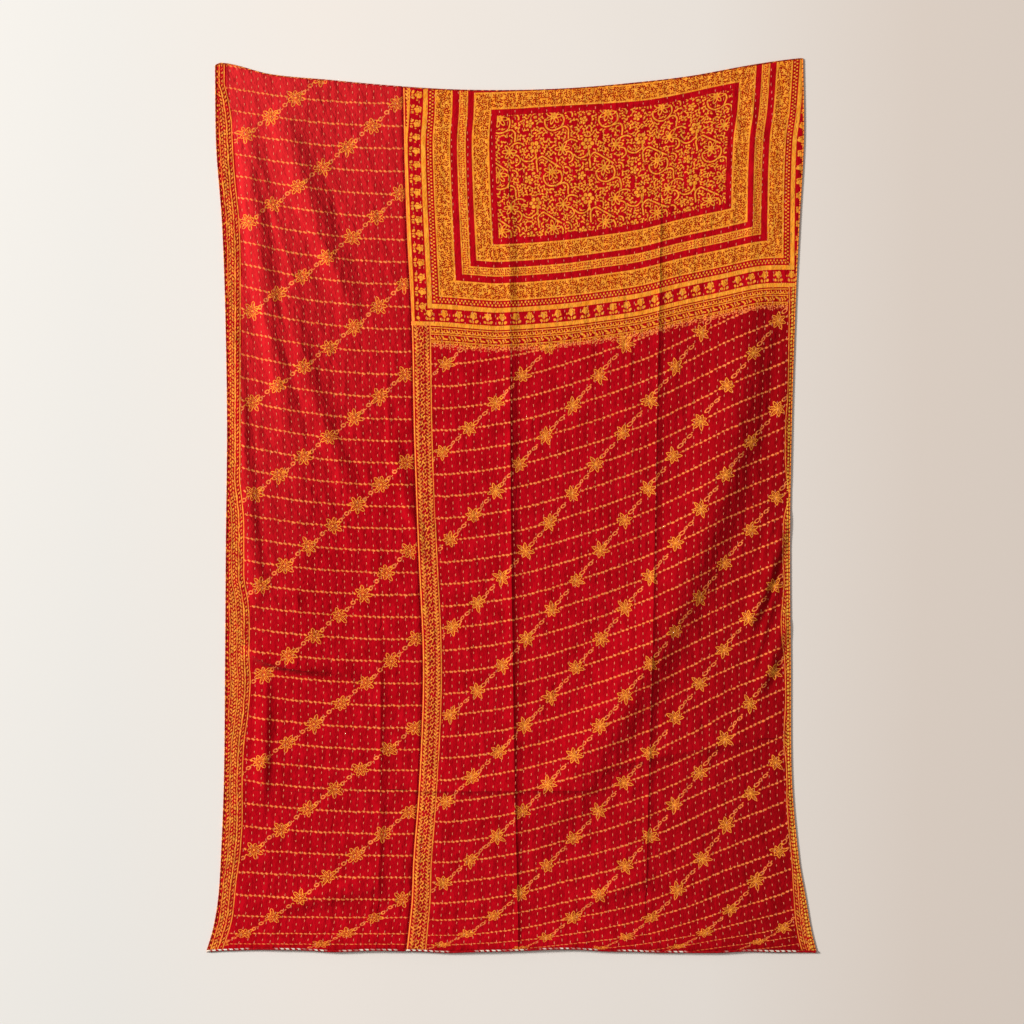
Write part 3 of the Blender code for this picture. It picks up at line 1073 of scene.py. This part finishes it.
def border(flat, lines, leaves):
    """A border's lines, each from its middle and width, and its columns of leaves."""
    drawn = [straight(flat.x, middle, line) for middle, line in lines]
    return least(*drawn, *[leaf_column(flat.x, flat.y, leaf) for leaf in leaves])


def printed_unevenly(shape, flat, patches, rags):
    """The same shape, fuller in some stretches and thinner in others, with a ragged edge."""
    fuller = (cloudy(flat, 0.06, 3.0) - 0.52) * patches
    return ragged(shape + fuller, flat, rags)


def mid_strip(tree):
    """The narrow border beside the seam: two bands of filigree with a leafy meander between."""
    strip = kept_place(tree, "strip_at")
    s = strip.z
    flat = wandering(wandering(place_of(s, strip.y), 5.0), 4.0, 0.16)
    tile = place_of(flat.x - 25.2, flat.y.wrap(8.4))
    shape = least(
        border(flat, MID_LINES, MID_LEAVES),
        arc(tile, -1.2, 4.2, 4.2, -60, 180, 2.1),
        arc(tile, 1.2, -4.2, 4.2, 120, 360, 2.1),
    )
    shape = printed_unevenly(shape, flat, 3.0, 2.2)
    shape = least(shape, straight(s, 3.0, 2.4), straight(s, 46.6, 2.4), pallu_line(tree))
    return strip_colours(tree, flat, shape)


def left_strip(tree):
    """The wide border of the left edge, counted outwards from its thin inner line."""
    strip = kept_place(tree, "strip_at")
    s = strip.x
    flat = wandering(wandering(place_of(s, strip.y), 5.0), 4.0, 0.16)
    leafy = most(border(flat, LEFT_LINES, LEFT_LEAVES), 8.5 - strip.z)
    shape = least(leafy, leaf_column(strip.z, flat.y, LEFT_DOTS))
    shape = printed_unevenly(shape, flat, 3.6, 2.8)
    return strip_colours(tree, flat, least(shape, straight(s, 0.0, 2.2)), s)


def right_strip(tree):
    """The narrow border of the right edge: lines and leaves, with a row of beads at the edge."""
    strip = kept_place(tree, "strip_at")
    s = strip.x
    from_edge = strip.z * -1.0 + 1000 * RIGHT_CLOTH.flat_width
    flat = wandering(wandering(place_of(s, strip.y), 4.0), 3.6, 0.16)
    beads = leaf_column(from_edge, flat.y, RIGHT_BEADS)
    leafy = most(border(flat, RIGHT_LINES, RIGHT_LEAVES), 11.0 - from_edge)
    shape = printed_unevenly(least(leafy, beads), flat, 3.4, 2.4)
    shape = least(shape, straight(s, 0.0, 2.0), pallu_line(tree))
    ink, ground, colour = strip_colours(tree, flat, shape, s)
    return ink, ground, blended(tree, inked(beads - 0.5), colour, YELLOW)


def strip_colours(tree, flat, shape, outwards=None):
    """The inks of a border; beyond its inner line the ground is the field's own red."""
    ground = worn(tree, flat, DARK_RED, RED)
    if outwards is not None:
        ground = blended(tree, inked(outwards + 1.0, 1.5), ground, DEEP_RED)
    return inked(shape), ground, worn(tree, flat, RUST, BRIGHT, 0.05)


def curls(place, pitch, line):
    """Hooks turned every way with a dot by each, one to a cell of a loose scatter."""
    local = scattered(place, pitch)
    hook = arc(local, 0.0, 0, 0.32 * pitch, -100, 130, line)
    return least(hook, blob(local, -0.30 * pitch, -0.26 * pitch, line * 0.7, line * 0.6))


FRAME_LINES = ((18.4, 4.0), (58.8, 4.0), (118.6, 4.0), (159.4, 4.0))
FRAME_BANDS = ((180.0, 191.5), (226, 237.5))


def beyond_panel(place):
    """Millimetres beyond the pallu's middle panel, sideways and lengthwise."""
    aside = size(place.x - PANEL_WIDE_MM / 2) - PANEL_WIDE_MM / 2
    upright = size(place.y - PANEL_TALL_MM / 2) - PANEL_TALL_MM / 2
    return aside, upright


def pallu_frames(tree):
    """The pallu's frames: filigree bands, plain red, thick lines and a row of flower heads."""
    place = kept_place(tree, "pallu_at")
    aside, upright = beyond_panel(place)
    out = most(aside, upright)
    on_side = aside.math("GREATER_THAN", upright)
    along = place.y * on_side + place.x * (1 - on_side)
    thin = [straight(out, middle, line) for middle, line in FRAME_LINES]
    lines = least(*thin, *[band(out, low, high) for low, high in FRAME_BANDS])
    filled = least(band(out, 19, 58), band(out, 119, 158.5))
    filigree = most(filled, curls(place, 8.0, 2.7) * -1.0)
    specks = scattered(place, 5.6, 0.6)
    narrow = most(band(out, 79.5, 95.0), blob(specks, 0, 0, 2.9, 1.5) * -1.0)
    narrow = least(narrow, straight(out, 78.2, 3.0), straight(out, 97.2, 3.0))
    pair = place_of(along.wrap(4.6), out)
    beads = least(blob(pair, -1.9, 167.4, 2.0, 2.5), blob(pair, 2.5, 173.6, 2.1, 2.5))
    shape = least(lines, filigree, narrow, beads, flower_heads(along, out))
    colour = worn(tree, place, MUSTARD, BRIGHT, 0.05)
    ground = worn(tree, place, DEEP_RED, RED, 0.02)
    ground = blended(tree, inked(filled, 2.0), ground, FILIGREE_RED)
    return inked(ragged(shape, place, 0.8)), ground, colour


def flower_heads(along, out):
    """One flower head after another along the red band, each with three buds outside it."""
    bent = cloudy(place_of(along, out), 0.07, 1.0)
    head = place_of(along.wrap(37.3 / 2) + bent * 5.0 - 2.5, out - bent * 4.0 - 201.8)
    angle = head.y.math("ARCTAN2", head.x)
    reach = head.length()
    lobes = (angle * 5.0 + bent * 9.0).math("COSINE")
    face = most(reach - lobes * 1.5 - 8.8, arc(head, 0, 0.6, 5.2, -70, 60, 1.6) * -1.0)
    buds = least(
        blob(head, -7.6, 14.6, 4.0, 3.2, 0.6),
        blob(head, 0.0, 15.4, 1.6, 3.6),
        blob(head, 8.0, 14.0, 4.4, 3.4, -0.6),
        blob(head, -13.0, 3.0, 1.7, 2.6),
    )
    return least(face, buds)


def pallu_panel(tree):
    """The pallu's middle: a vine that curls round rosettes, with flowers and leaves between."""
    place = kept_place(tree, "pallu_at")
    shift = cloudy(place, 0.05, 1.0)
    wobble = place_of(shift * 5.0 - 2.5, shift * -5.0 + 2.5)
    main = vine_shapes(place.plus(wobble))
    shapes = least(main, most(leaf_filling(place), 3.8 - main))
    ink = inked(ragged(most(shapes, *beyond_panel(place)), place, 0.8))
    return ink, worn(tree, place, DEEP_RED, RED, 0.03), worn(tree, place, MUSTARD, BRIGHT, 0.08)


VINE_WIDE, VINE_TALL = 137.5, 144.0
VINE_LINE = 3.6
FLOWER_PLACES = ((144.7, 162.0), (100.5, 229.1), (173.2, 220.6), (84.8, 146.3))


def vine_shapes(place):
    """One repeat of the vine, in millimetres from each of its flowers in turn."""
    ring, round_flower, spray, florets = (
        place.seen_from(x, y).repeated(VINE_WIDE, VINE_TALL) for x, y in FLOWER_PLACES
    )
    return least(
        rosette(ring, 7, 12.6, 7.4, 3.7),
        arc(ring, 2.8, -12.9, 23.9, 165, 400, VINE_LINE),
        stroke(ring, 22.9, 10.0, -22.9, 41.9, VINE_LINE),
        arc(ring, -22.9, 25.7, 16.0, 90, 190, VINE_LINE),
        stroke(ring, -38.5, 24.0, -36.5, 4.0, VINE_LINE),
        blob(ring, -47.0, 0.0, 4.5, 3.5),
        arc(ring, 37.0, -1.5, 11.6, -20, 100, VINE_LINE),
        arc(ring, 28.5, -42.9, 14.1, -5, 130, VINE_LINE),
        stroke(ring, 42.6, -43.0, 43.0, -60.0, VINE_LINE),
        rosette(round_flower, 6, 10.8, 5.2, 4.8, filled=True),
        stroke(round_flower, 3.0, -12.0, 5.0, -30.0, VINE_LINE),
        arc(round_flower, -16.2, -14.3, 21.8, -150, -10, VINE_LINE),
        rosette(spray, 6, 11.0, 7.0, 3.7),
        arc(spray, 22.9, 1.1, 20.6, 40, 130, VINE_LINE),
        arc(spray, 12.9, -22.9, 14.4, -80, 100, VINE_LINE),
        rosette(florets, 5, 7.6, 4.0, 3.4, filled=True),
    )


def rosette(place, petals, middle, half, wide, filled=False):
    """Round petals about a knot, hollow or filled."""
    angle = place.y.math("ARCTAN2", place.x)
    aside = angle.wrap(pi / petals)
    reach = place.length()
    local = place_of(reach * aside.math("COSINE"), reach * aside.math("SINE"))
    petal = (local.seen_from(middle, 0, 0, half, wide).length() - 1) * wide
    if not filled:
        petal = size(petal) - 1.0
    return least(petal, reach - 2.8)


def leaf_filling(place):
    """Small leaves and hooks that fill the ground between the larger flowers."""
    local = scattered(place, 17.0, 0.7)
    hook = arc(local, -1.8, 0.0, 3.8, 40, 270, 2.6)
    leaves = least(
        blob(local, 5.0, 3.6, 4.2, 2.1, 0.6),
        blob(local, 4.8, -3.8, 4.2, 2.1, -0.5),
        blob(local, -5.6, -5.0, 2.7, 2.0),
        blob(local, -5.0, 5.8, 2.3, 1.8),
    )
    return least(hook, leaves)


def backing(tree):
    """Plain cream cotton, with a faint shadow of the print through it."""
    place = own_place(tree)
    stain = cloudy(place, 9.0, 4.0).math("MULTIPLY_ADD", 2.0, -0.6, clamp=True)
    fleck = cloudy(place, 600.0, 1.0)
    return fleck * 0.5, blended(tree, stain, CREAM, PALE_CREAM), PALE_CREAM


def thread_material(name, light, shade, changed=None):
    """Soft cotton thread with a twist; its colour may be changed by place."""
    material, tree, shader = new_material(name)
    place = own_place(tree)
    twist = ((place.y + place.x * 0.6) * (2 * pi / TWIST_PITCH)).math("SINE") * 0.5 + 0.5
    patch = cloudy(place, 40.0, 3.0)
    colour = blended(tree, twist * 0.5 + patch * 0.5, shade, light)
    if changed:
        colour = changed(tree, place, colour)
    tree.links.new(colour, shader.inputs["Base Color"])
    shader.inputs["Specular IOR Level"].default_value = 0.2
    feed(tree, patch * 0.2 + 0.75, shader.inputs["Roughness"])
    give_bumps(tree, shader, twist, 0.0002)
    return material


# ---------------------------------------------------------------- stitches

STITCH_LONG, STITCH_WIDE, STITCH_HIGH = 0.0092, 0.0019, 0.0010
STITCH_DRIFT, STITCH_SLIP, STITCH_RAISED = 0.0007, 0.0011, 0.12
RIB_WIDTH, FROM_HEM = 0.0193, 0.003


def arrayed_stitches(name, counts, fineness):
    """Many copies of one small lozenge, with each point's place counted from its own middle."""
    lozenge = bmesh.new()
    bmesh.ops.create_icosphere(lozenge, subdivisions=fineness, radius=0.5)
    points_each = len(lozenge.verts)
    thing = new_object(name, mesh_of(lozenge, "one_stitch"))
    across, up = counts
    for count, step in ((up, (0, 1, 0)), (across, (1, 0, 0))):
        array = thing.modifiers.new("row", "ARRAY")
        array.count = count
        array.use_relative_offset = False
        array.use_constant_offset = True
        array.constant_offset_displace = step
    apply_modifiers(thing)
    points = np.empty(len(thing.data.vertices) * 3, np.float32)
    thing.data.vertices.foreach_get("co", points)
    points = points.reshape(across, up, points_each, 3).astype(float)
    points[..., 0] -= np.arange(across)[:, None, None]
    points[..., 1] -= np.arange(up)[None, :, None]
    return thing, points


def finish_stitches(thing, points, material):
    set_points(thing.data, points)
    thing.data.materials.append(material)
    smooth(thing.data)
    return thing


def make_stitches(cloth, material):
    """Running stitches in columns: one small lozenge, arrayed and laid on the cloth."""
    per_column = int(LENGTH / STITCH_PITCH) - 1
    columns = cloth.ribs - 1
    name = cloth.name.replace("cloth", "stitches")
    thing, local = arrayed_stitches(name, (columns, per_column), 1)
    column = np.arange(columns)[:, None, None] + 1
    number = np.arange(per_column)[None, :, None]
    luck = np.random.default_rng(cloth.ribs)
    shape = (columns, per_column, 1)
    long = STITCH_LONG * luck.uniform(0.80, 1.12, shape)
    drift = luck.normal(0, STITCH_DRIFT, shape)
    slip = luck.normal(0, STITCH_SLIP, shape)
    ribs_a_metre = 1 / RIB_WIDTH
    stagger = 0.5 * (column % 2)
    along = (number + 1 + stagger) * STITCH_PITCH - LENGTH / 2 + slip + local[..., 1] * long
    along = np.clip(along, -LENGTH / 2 + FROM_HEM, LENGTH / 2 - FROM_HEM).ravel()
    rib = (column + (local[..., 0] * STITCH_WIDE + drift) * ribs_a_metre).ravel()
    x, y, lift, thickness = cloth_points(cloth, rib, along)
    z = lift + thickness + (local[..., 2].ravel() + STITCH_RAISED) * STITCH_HIGH
    over = ink_under(cloth, rib / cloth.ribs, x, y)
    keep_places(thing.data, "over_ink", np.stack([over, over, over], 1))
    return finish_stitches(thing, np.stack([x, y, z], 1), material)


ORANGE_BANDS_MM = ((17, 60), (77, 99), (117, 161), (180, 192), (226, 238))
LOST_IN_BORDER, LOST_IN_BAND = 0.6, 0.85


def ink_under(cloth, share, x, y):
    """How much of the thread's colour is lost in the print: most of it over orange bands."""
    strip = strip_places(cloth, share, x, y)
    over = np.where(strip[:, 0] > 0, LOST_IN_BORDER, 0.0)
    if cloth is LEFT_CLOTH:
        return over
    over = np.where(strip[:, 2] < MID_STRIP_MM, LOST_IN_BORDER, over)
    outwards = frame_distance(pallu_places(x, y))
    over = np.where(outwards < 0, LOST_IN_BORDER, over)
    for low, high in ORANGE_BANDS_MM:
        over = np.where((outwards > low) & (outwards < high), LOST_IN_BAND, over)
    return over


# ---------------------------------------------------------------- rolled and whipped edges

ROLL_SIDES, ROLL_STEP = 8, 0.0019
WHIP_NOTCH, NOTCH_SHARE, WHIP_ARC = 0.20, 0.16, radians(165)
WHIP_CLEAR, WHIP_RAISED, WHIP_HIGH = 0.0002, 0.1, 0.0006
ROLL_INSET, ROLL_SQUASH, ROUNDED_END = 0.6, 0.95, 1.6
KNOT_SWELL, KNOT_LONG = 0.5, 0.012
HEM_SWAY, HEM_CURL = 0.0018, 0.0016
LEFT_EDGE, RIGHT_EDGE, TOP_HEM, FOOT_HEM = "left_edge", "right_edge", "top_hem", "foot_hem"

# How thick each edge is rolled, and how far apart, how wide and how slanting it is whipped.
Roll = namedtuple("Roll", "radius pitch whip_wide slant")
ROLLS = {
    LEFT_EDGE: Roll(0.0021, 0.0145, 0.0017, 0.30),
    RIGHT_EDGE: Roll(0.0018, 0.0114, 0.0024, 0.20),
    TOP_HEM: Roll(0.0019, 0.0180, 0.0052, 0.60),
    FOOT_HEM: Roll(0.0030, 0.0146, 0.0070, 0.50),
}


def edge_path(cloth, edge, share):
    """The middle line of a rolled edge, and the way outwards from the cloth, at each place."""
    if edge in (LEFT_EDGE, RIGHT_EDGE):
        rib = np.full(share.shape, 0.0 if edge == LEFT_EDGE else cloth.ribs)
        x, y, lift, _ = cloth_points(cloth, rib, (share - 0.5) * LENGTH)
        outwards = np.array((-1.0, 0.0) if edge == LEFT_EDGE else (1.0, 0.0))
    else:
        end = LENGTH / 2 if edge == TOP_HEM else -LENGTH / 2
        x, y, lift, _ = cloth_points(cloth, share * cloth.ribs, np.full(share.shape, end))
        outwards = np.array((0.0, 1.0) if edge == TOP_HEM else (0.0, -1.0))
    if edge == FOOT_HEM:
        y = y + HEM_SWAY * waves(x, x * 0, 21, 0.240, 0.050)
        lift = lift + HEM_CURL * (0.5 + 0.5 * waves(x, x * 0, 23, 0.240, 0.070))
    radius = ROLLS[edge].radius
    x, y = x - outwards[0] * radius * ROLL_INSET, y - outwards[1] * radius * ROLL_INSET
    return np.stack([x, y, lift + radius * ROLL_SQUASH], -1), np.array((*outwards, 0.0))


def edge_length(cloth, edge):
    places, _ = edge_path(cloth, edge, np.linspace(0, 1, 200))
    return np.linalg.norm(np.diff(places, axis=0), axis=1).sum()


def whip_phase(roll, along, angle):
    """How far a place on the roll is from the nearest whip stitch, as a share of their pitch."""
    phase = along / roll.pitch + roll.slant * (angle / pi - 0.5)
    return phase - np.round(phase)


def roll_points(cloth, edge, along, angle, above=0.0):
    """Points on a rolled edge by metres along it and the angle up from its outer side."""
    roll = ROLLS[edge]
    length = edge_length(cloth, edge)
    middle, outwards = edge_path(cloth, edge, np.clip(along / length, 0, 1))
    nipped = WHIP_NOTCH * np.exp(-((whip_phase(roll, along, angle) / NOTCH_SHARE) ** 2))
    to_end = np.clip(np.minimum(along, length - along) / (roll.radius * ROUNDED_END), 0, 1)
    rounded = np.sqrt(1 - (1 - to_end) ** 2)
    swollen = 1.0
    if edge == FOOT_HEM and cloth is RIGHT_CLOTH:
        swollen = 1 + KNOT_SWELL * np.clip(1 - (length - along) / KNOT_LONG, 0, 1)
    reach = (roll.radius * (1 - nipped) * swollen + above) * rounded
    sideways = (reach * np.cos(angle))[..., None] * outwards
    upwards = (reach * np.sin(angle))[..., None] * np.array((0.0, 0.0, ROLL_SQUASH))
    return middle + sideways + upwards


def make_roll(cloth, edge, material):
    """The cloth's edge rolled over: a closed tube, nipped in by each whip stitch."""
    length = edge_length(cloth, edge)
    rings = round(length / ROLL_STEP)
    tube = bmesh.new()
    bmesh.ops.create_grid(tube, x_segments=rings, y_segments=ROLL_SIDES, size=0.5)
    hem_at = tube.verts.layers.float_vector.new("hem_at")
    sides = np.array([vertex.co[:] for vertex in tube.verts])
    along = (sides[:, 0] + 0.5) * length
    turn = sides[:, 1] + 0.5
    places = roll_points(cloth, edge, along, (turn * 2 - 0.5) * pi)
    for vertex, place, far, round_it in zip(tube.verts, places, along, turn):
        vertex.co = place
        vertex[hem_at] = (far * 1000, round_it, 0.0)
    bmesh.ops.remove_doubles(tube, verts=tube.verts[:], dist=0.00001)
    bmesh.ops.recalc_face_normals(tube, faces=tube.faces[:])
    name = cloth.name.replace("cloth", "") + edge + "_roll"
    mesh = mesh_of(tube, name)
    mesh.materials.append(material)
    smooth(mesh)
    return new_object(name, mesh)


def make_whips(cloth, edge, material):
    """Whip stitches over a rolled edge: lozenges bent round it, one in each of its nips."""
    roll = ROLLS[edge]
    count = int(edge_length(cloth, edge) / roll.pitch - 0.5)
    name = cloth.name.replace("cloth", "") + edge + "_whips"
    thing, local = arrayed_stitches(name, (1, count), 2)
    luck = np.random.default_rng(count)
    angle = pi / 2 + local[..., 1] * WHIP_ARC
    number = np.arange(count)[None, :, None] + 1
    wide = roll.whip_wide * luck.uniform(0.75, 1.2, (1, count, 1))
    along = (number - roll.slant * (angle / pi - 0.5)) * roll.pitch + local[..., 0] * wide
    above = WHIP_CLEAR + (local[..., 2] + WHIP_RAISED) * WHIP_HIGH
    points = roll_points(cloth, edge, along.ravel(), angle.ravel(), above.ravel())
    return finish_stitches(thing, points, material)


ROLL_ROUND_MM = 12.0


def on_roll(tree):
    """The place on a rolled edge, laid flat: along it, and round it from its outer side."""
    place = kept_place(tree, "hem_at")
    return place, place_of(place.x, place.y * ROLL_ROUND_MM)


def rolled_red(bright_share):
    """The print's red turned over the edge, with touches of the orange that it carries."""

    def draw(tree):
        _, flat = on_roll(tree)
        spots = cloudy(flat, 0.11, 3.0, 0.7)
        touches = spots.math("MULTIPLY_ADD", 9.0, bright_share * 9.0 - 6.0, clamp=True)
        ground = worn(tree, flat, DARK_RED, DEEP_RED, 0.08)
        return touches, ground, worn(tree, flat, RUST, BRIGHT, 0.2)

    return draw


def turned_backing(tree):
    """The cream backing turned over the foot hem, showing between stretches of red; painted shade
    outside.
    """
    place, flat = on_roll(tree)
    hidden = cloudy(flat, 0.011, 2.0, 0.5).math("MULTIPLY_ADD", 12.0, -5.4, clamp=True)
    # Painted shade: the roll's outer side is maroon, for the dark shadow line under the hem.
    outer = (place.y * -30.0).math("ADD", 14.8, clamp=True)
    cream = blended(tree, outer, worn(tree, flat, CREAM, PALE_CREAM, 0.1), SHADE_MAROON)
    return hidden, cream, worn(tree, flat, DARK_RED, RED, 0.1)


def lost_over_ink(tree, _place, colour):
    """The thread's colour, that sinks into the orange of the bands under it."""
    return blended(tree, kept_place(tree, "over_ink").x, colour, THREAD_OVER_INK)


def top_whip_colours(tree, place, colour):
    """Orange thread at the left, paler towards the middle and dark from there on."""
    paler = (place.x * 4.0).math("ADD", 2.4, clamp=True)
    darker = (place.x * 12.0).math("ADD", 3.4, clamp=True)
    colour = blended(tree, paler, colour, PALE_WHIP)
    return blended(tree, darker, colour, BROWN_WHIP)


def apply_modifiers(thing):
    """Puts the shape that the modifiers give into the object's own mesh."""
    graph = bpy.context.evaluated_depsgraph_get()
    mesh = bpy.data.meshes.new_from_object(thing.evaluated_get(graph))
    thing.modifiers.clear()
    thing.data = mesh
    mesh.name = thing.name


# ---------------------------------------------------------------- floor, light and camera

FLOOR_REACH, FLOOR_DROP = 40.0, 0.0005
KEY_PLACE, KEY_POWER, KEY_WIDE, KEY_COLOUR = (-12.9, 4.0, 8.2), 3220, 3.0, (1.0, 0.98, 0.955)
SKY_COLOUR, SKY_STRENGTH = (1.0, 0.985, 0.97, 1.0), 0.30
CAMERA_PLACE, CAMERA_SENSOR_MM = (0.0013, -0.0167, 6.0), 36.0
FACE_HEIGHT, VIEW_WIDE = 0.005, 2.632


def make_floor():
    """A plain pale floor with painted light: cooler at the quilt's left, warmer and darker at its
    right.
    """
    slab = bmesh.new()
    bmesh.ops.create_grid(slab, x_segments=1, y_segments=1, size=FLOOR_REACH)
    mesh = mesh_of(slab, "floor")
    floor = new_object("floor", mesh)
    material, tree, shader = new_material("pale_floor")
    place = own_place(tree)
    cloud = cloudy(place, 1.2, 2.0)
    colour = blended(tree, cloud, FLOOR_SHADE, FLOOR_PALE)
    # Painted light and shade: the floor's colour follows the light's colour and its fall-off across
    # the view.
    painted_cool_light = (place.x * -1.8).math("ADD", -0.9, clamp=True)
    painted_warm_shade = (place.x * 1.8).math("ADD", -0.9, clamp=True)
    colour = blended(tree, painted_cool_light, colour, FLOOR_COOL_LIGHT)
    colour = blended(tree, painted_warm_shade, colour, FLOOR_WARM_SHADE)
    tree.links.new(colour, shader.inputs["Base Color"])
    shader.inputs["Specular IOR Level"].default_value = 0.1
    feed(tree, cloud * 0.1 + 0.85, shader.inputs["Roughness"])
    mesh.materials.append(material)
    floor.location.z = -FLOOR_DROP
    return floor


def add_light(name, place, power, wide, colour):
    """A soft lamp that faces the quilt."""
    lamp = bpy.data.lights.new(name, "AREA")
    lamp.energy = power
    lamp.size = wide
    lamp.color = colour
    thing = new_object(name, lamp)
    thing.location = place
    thing.rotation_euler = (-Vector(place)).to_track_quat("-Z", "Y").to_euler()


def light_scene():
    scene = bpy.context.scene
    scene.view_settings.view_transform = "Standard"
    world = bpy.data.worlds.new("studio")
    scene.world = world
    world.use_nodes = True
    sky = world.node_tree.nodes["Background"]
    sky.inputs["Color"].default_value = SKY_COLOUR
    sky.inputs["Strength"].default_value = SKY_STRENGTH
    add_light("key", KEY_PLACE, KEY_POWER, KEY_WIDE, KEY_COLOUR)


def place_camera():
    """A camera straight above the quilt, that sees the view's width at the cloth's face."""
    camera = new_object("camera", bpy.data.cameras.new("camera"))
    camera.location = CAMERA_PLACE
    camera.data.sensor_width = CAMERA_SENSOR_MM
    camera.data.lens = CAMERA_SENSOR_MM * (CAMERA_PLACE[2] - FACE_HEIGHT) / VIEW_WIDE
    bpy.context.scene.camera = camera


# ---------------------------------------------------------------- the whole quilt


def declare(piece):
    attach(piece, "root")
    return piece


place_camera()
light_scene()
floor = make_floor()

reverse = print_material("plain_backing", backing)
left_prints = {
    FIELD: print_material("left_field_print", field_print(False)),
    STRIP: print_material("left_strip_print", left_strip),
    REVERSE: reverse,
}
right_prints = {
    FIELD: print_material("right_field_print", field_print(True)),
    STRIP: print_material("mid_strip_print", mid_strip),
    FRAMES: print_material("pallu_frames_print", pallu_frames),
    PANEL: print_material("pallu_panel_print", pallu_panel),
    RIGHT_STRIP: print_material("right_strip_print", right_strip),
    REVERSE: reverse,
}
thread = thread_material("stitch_thread", THREAD, THREAD_SHADE, lost_over_ink)
red_roll = print_material("left_rolled_print", rolled_red(0.16), creased=False)
orange_roll = print_material("right_rolled_print", rolled_red(0.36), creased=False)
cream_roll = print_material("turned_backing", turned_backing, creased=False)
roll_cloths = {
    LEFT_EDGE: red_roll,
    RIGHT_EDGE: orange_roll,
    TOP_HEM: red_roll,
    FOOT_HEM: cream_roll,
}
whip_threads = {
    LEFT_EDGE: thread_material("left_whip_thread", RUST, DARK_RED),
    RIGHT_EDGE: thread_material("right_whip_thread", DARK_RED, SHADE_MAROON),
    TOP_HEM: thread_material("top_whip_thread", BRIGHT, ORANGE, top_whip_colours),
    FOOT_HEM: thread_material("foot_whip_thread", RED, DARK_RED),
}
EDGES = {LEFT_CLOTH: (LEFT_EDGE, TOP_HEM, FOOT_HEM), RIGHT_CLOTH: (RIGHT_EDGE, TOP_HEM, FOOT_HEM)}


def make_quilt_side(cloth, prints, panel):
    """One cloth of the quilt with its running stitches, its rolled edges and their whipping."""
    sheet = declare(make_cloth(cloth, prints))
    fixed = [declare(make_stitches(cloth, thread))]
    for edge in EDGES[cloth]:
        fixed.append(declare(make_roll(cloth, edge, roll_cloths[edge])))
        fixed.append(declare(make_whips(cloth, edge, whip_threads[edge])))
    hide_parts(panel)


make_quilt_side(LEFT_CLOTH, left_prints, "left_panel")
make_quilt_side(RIGHT_CLOTH, right_prints, "right_panel")
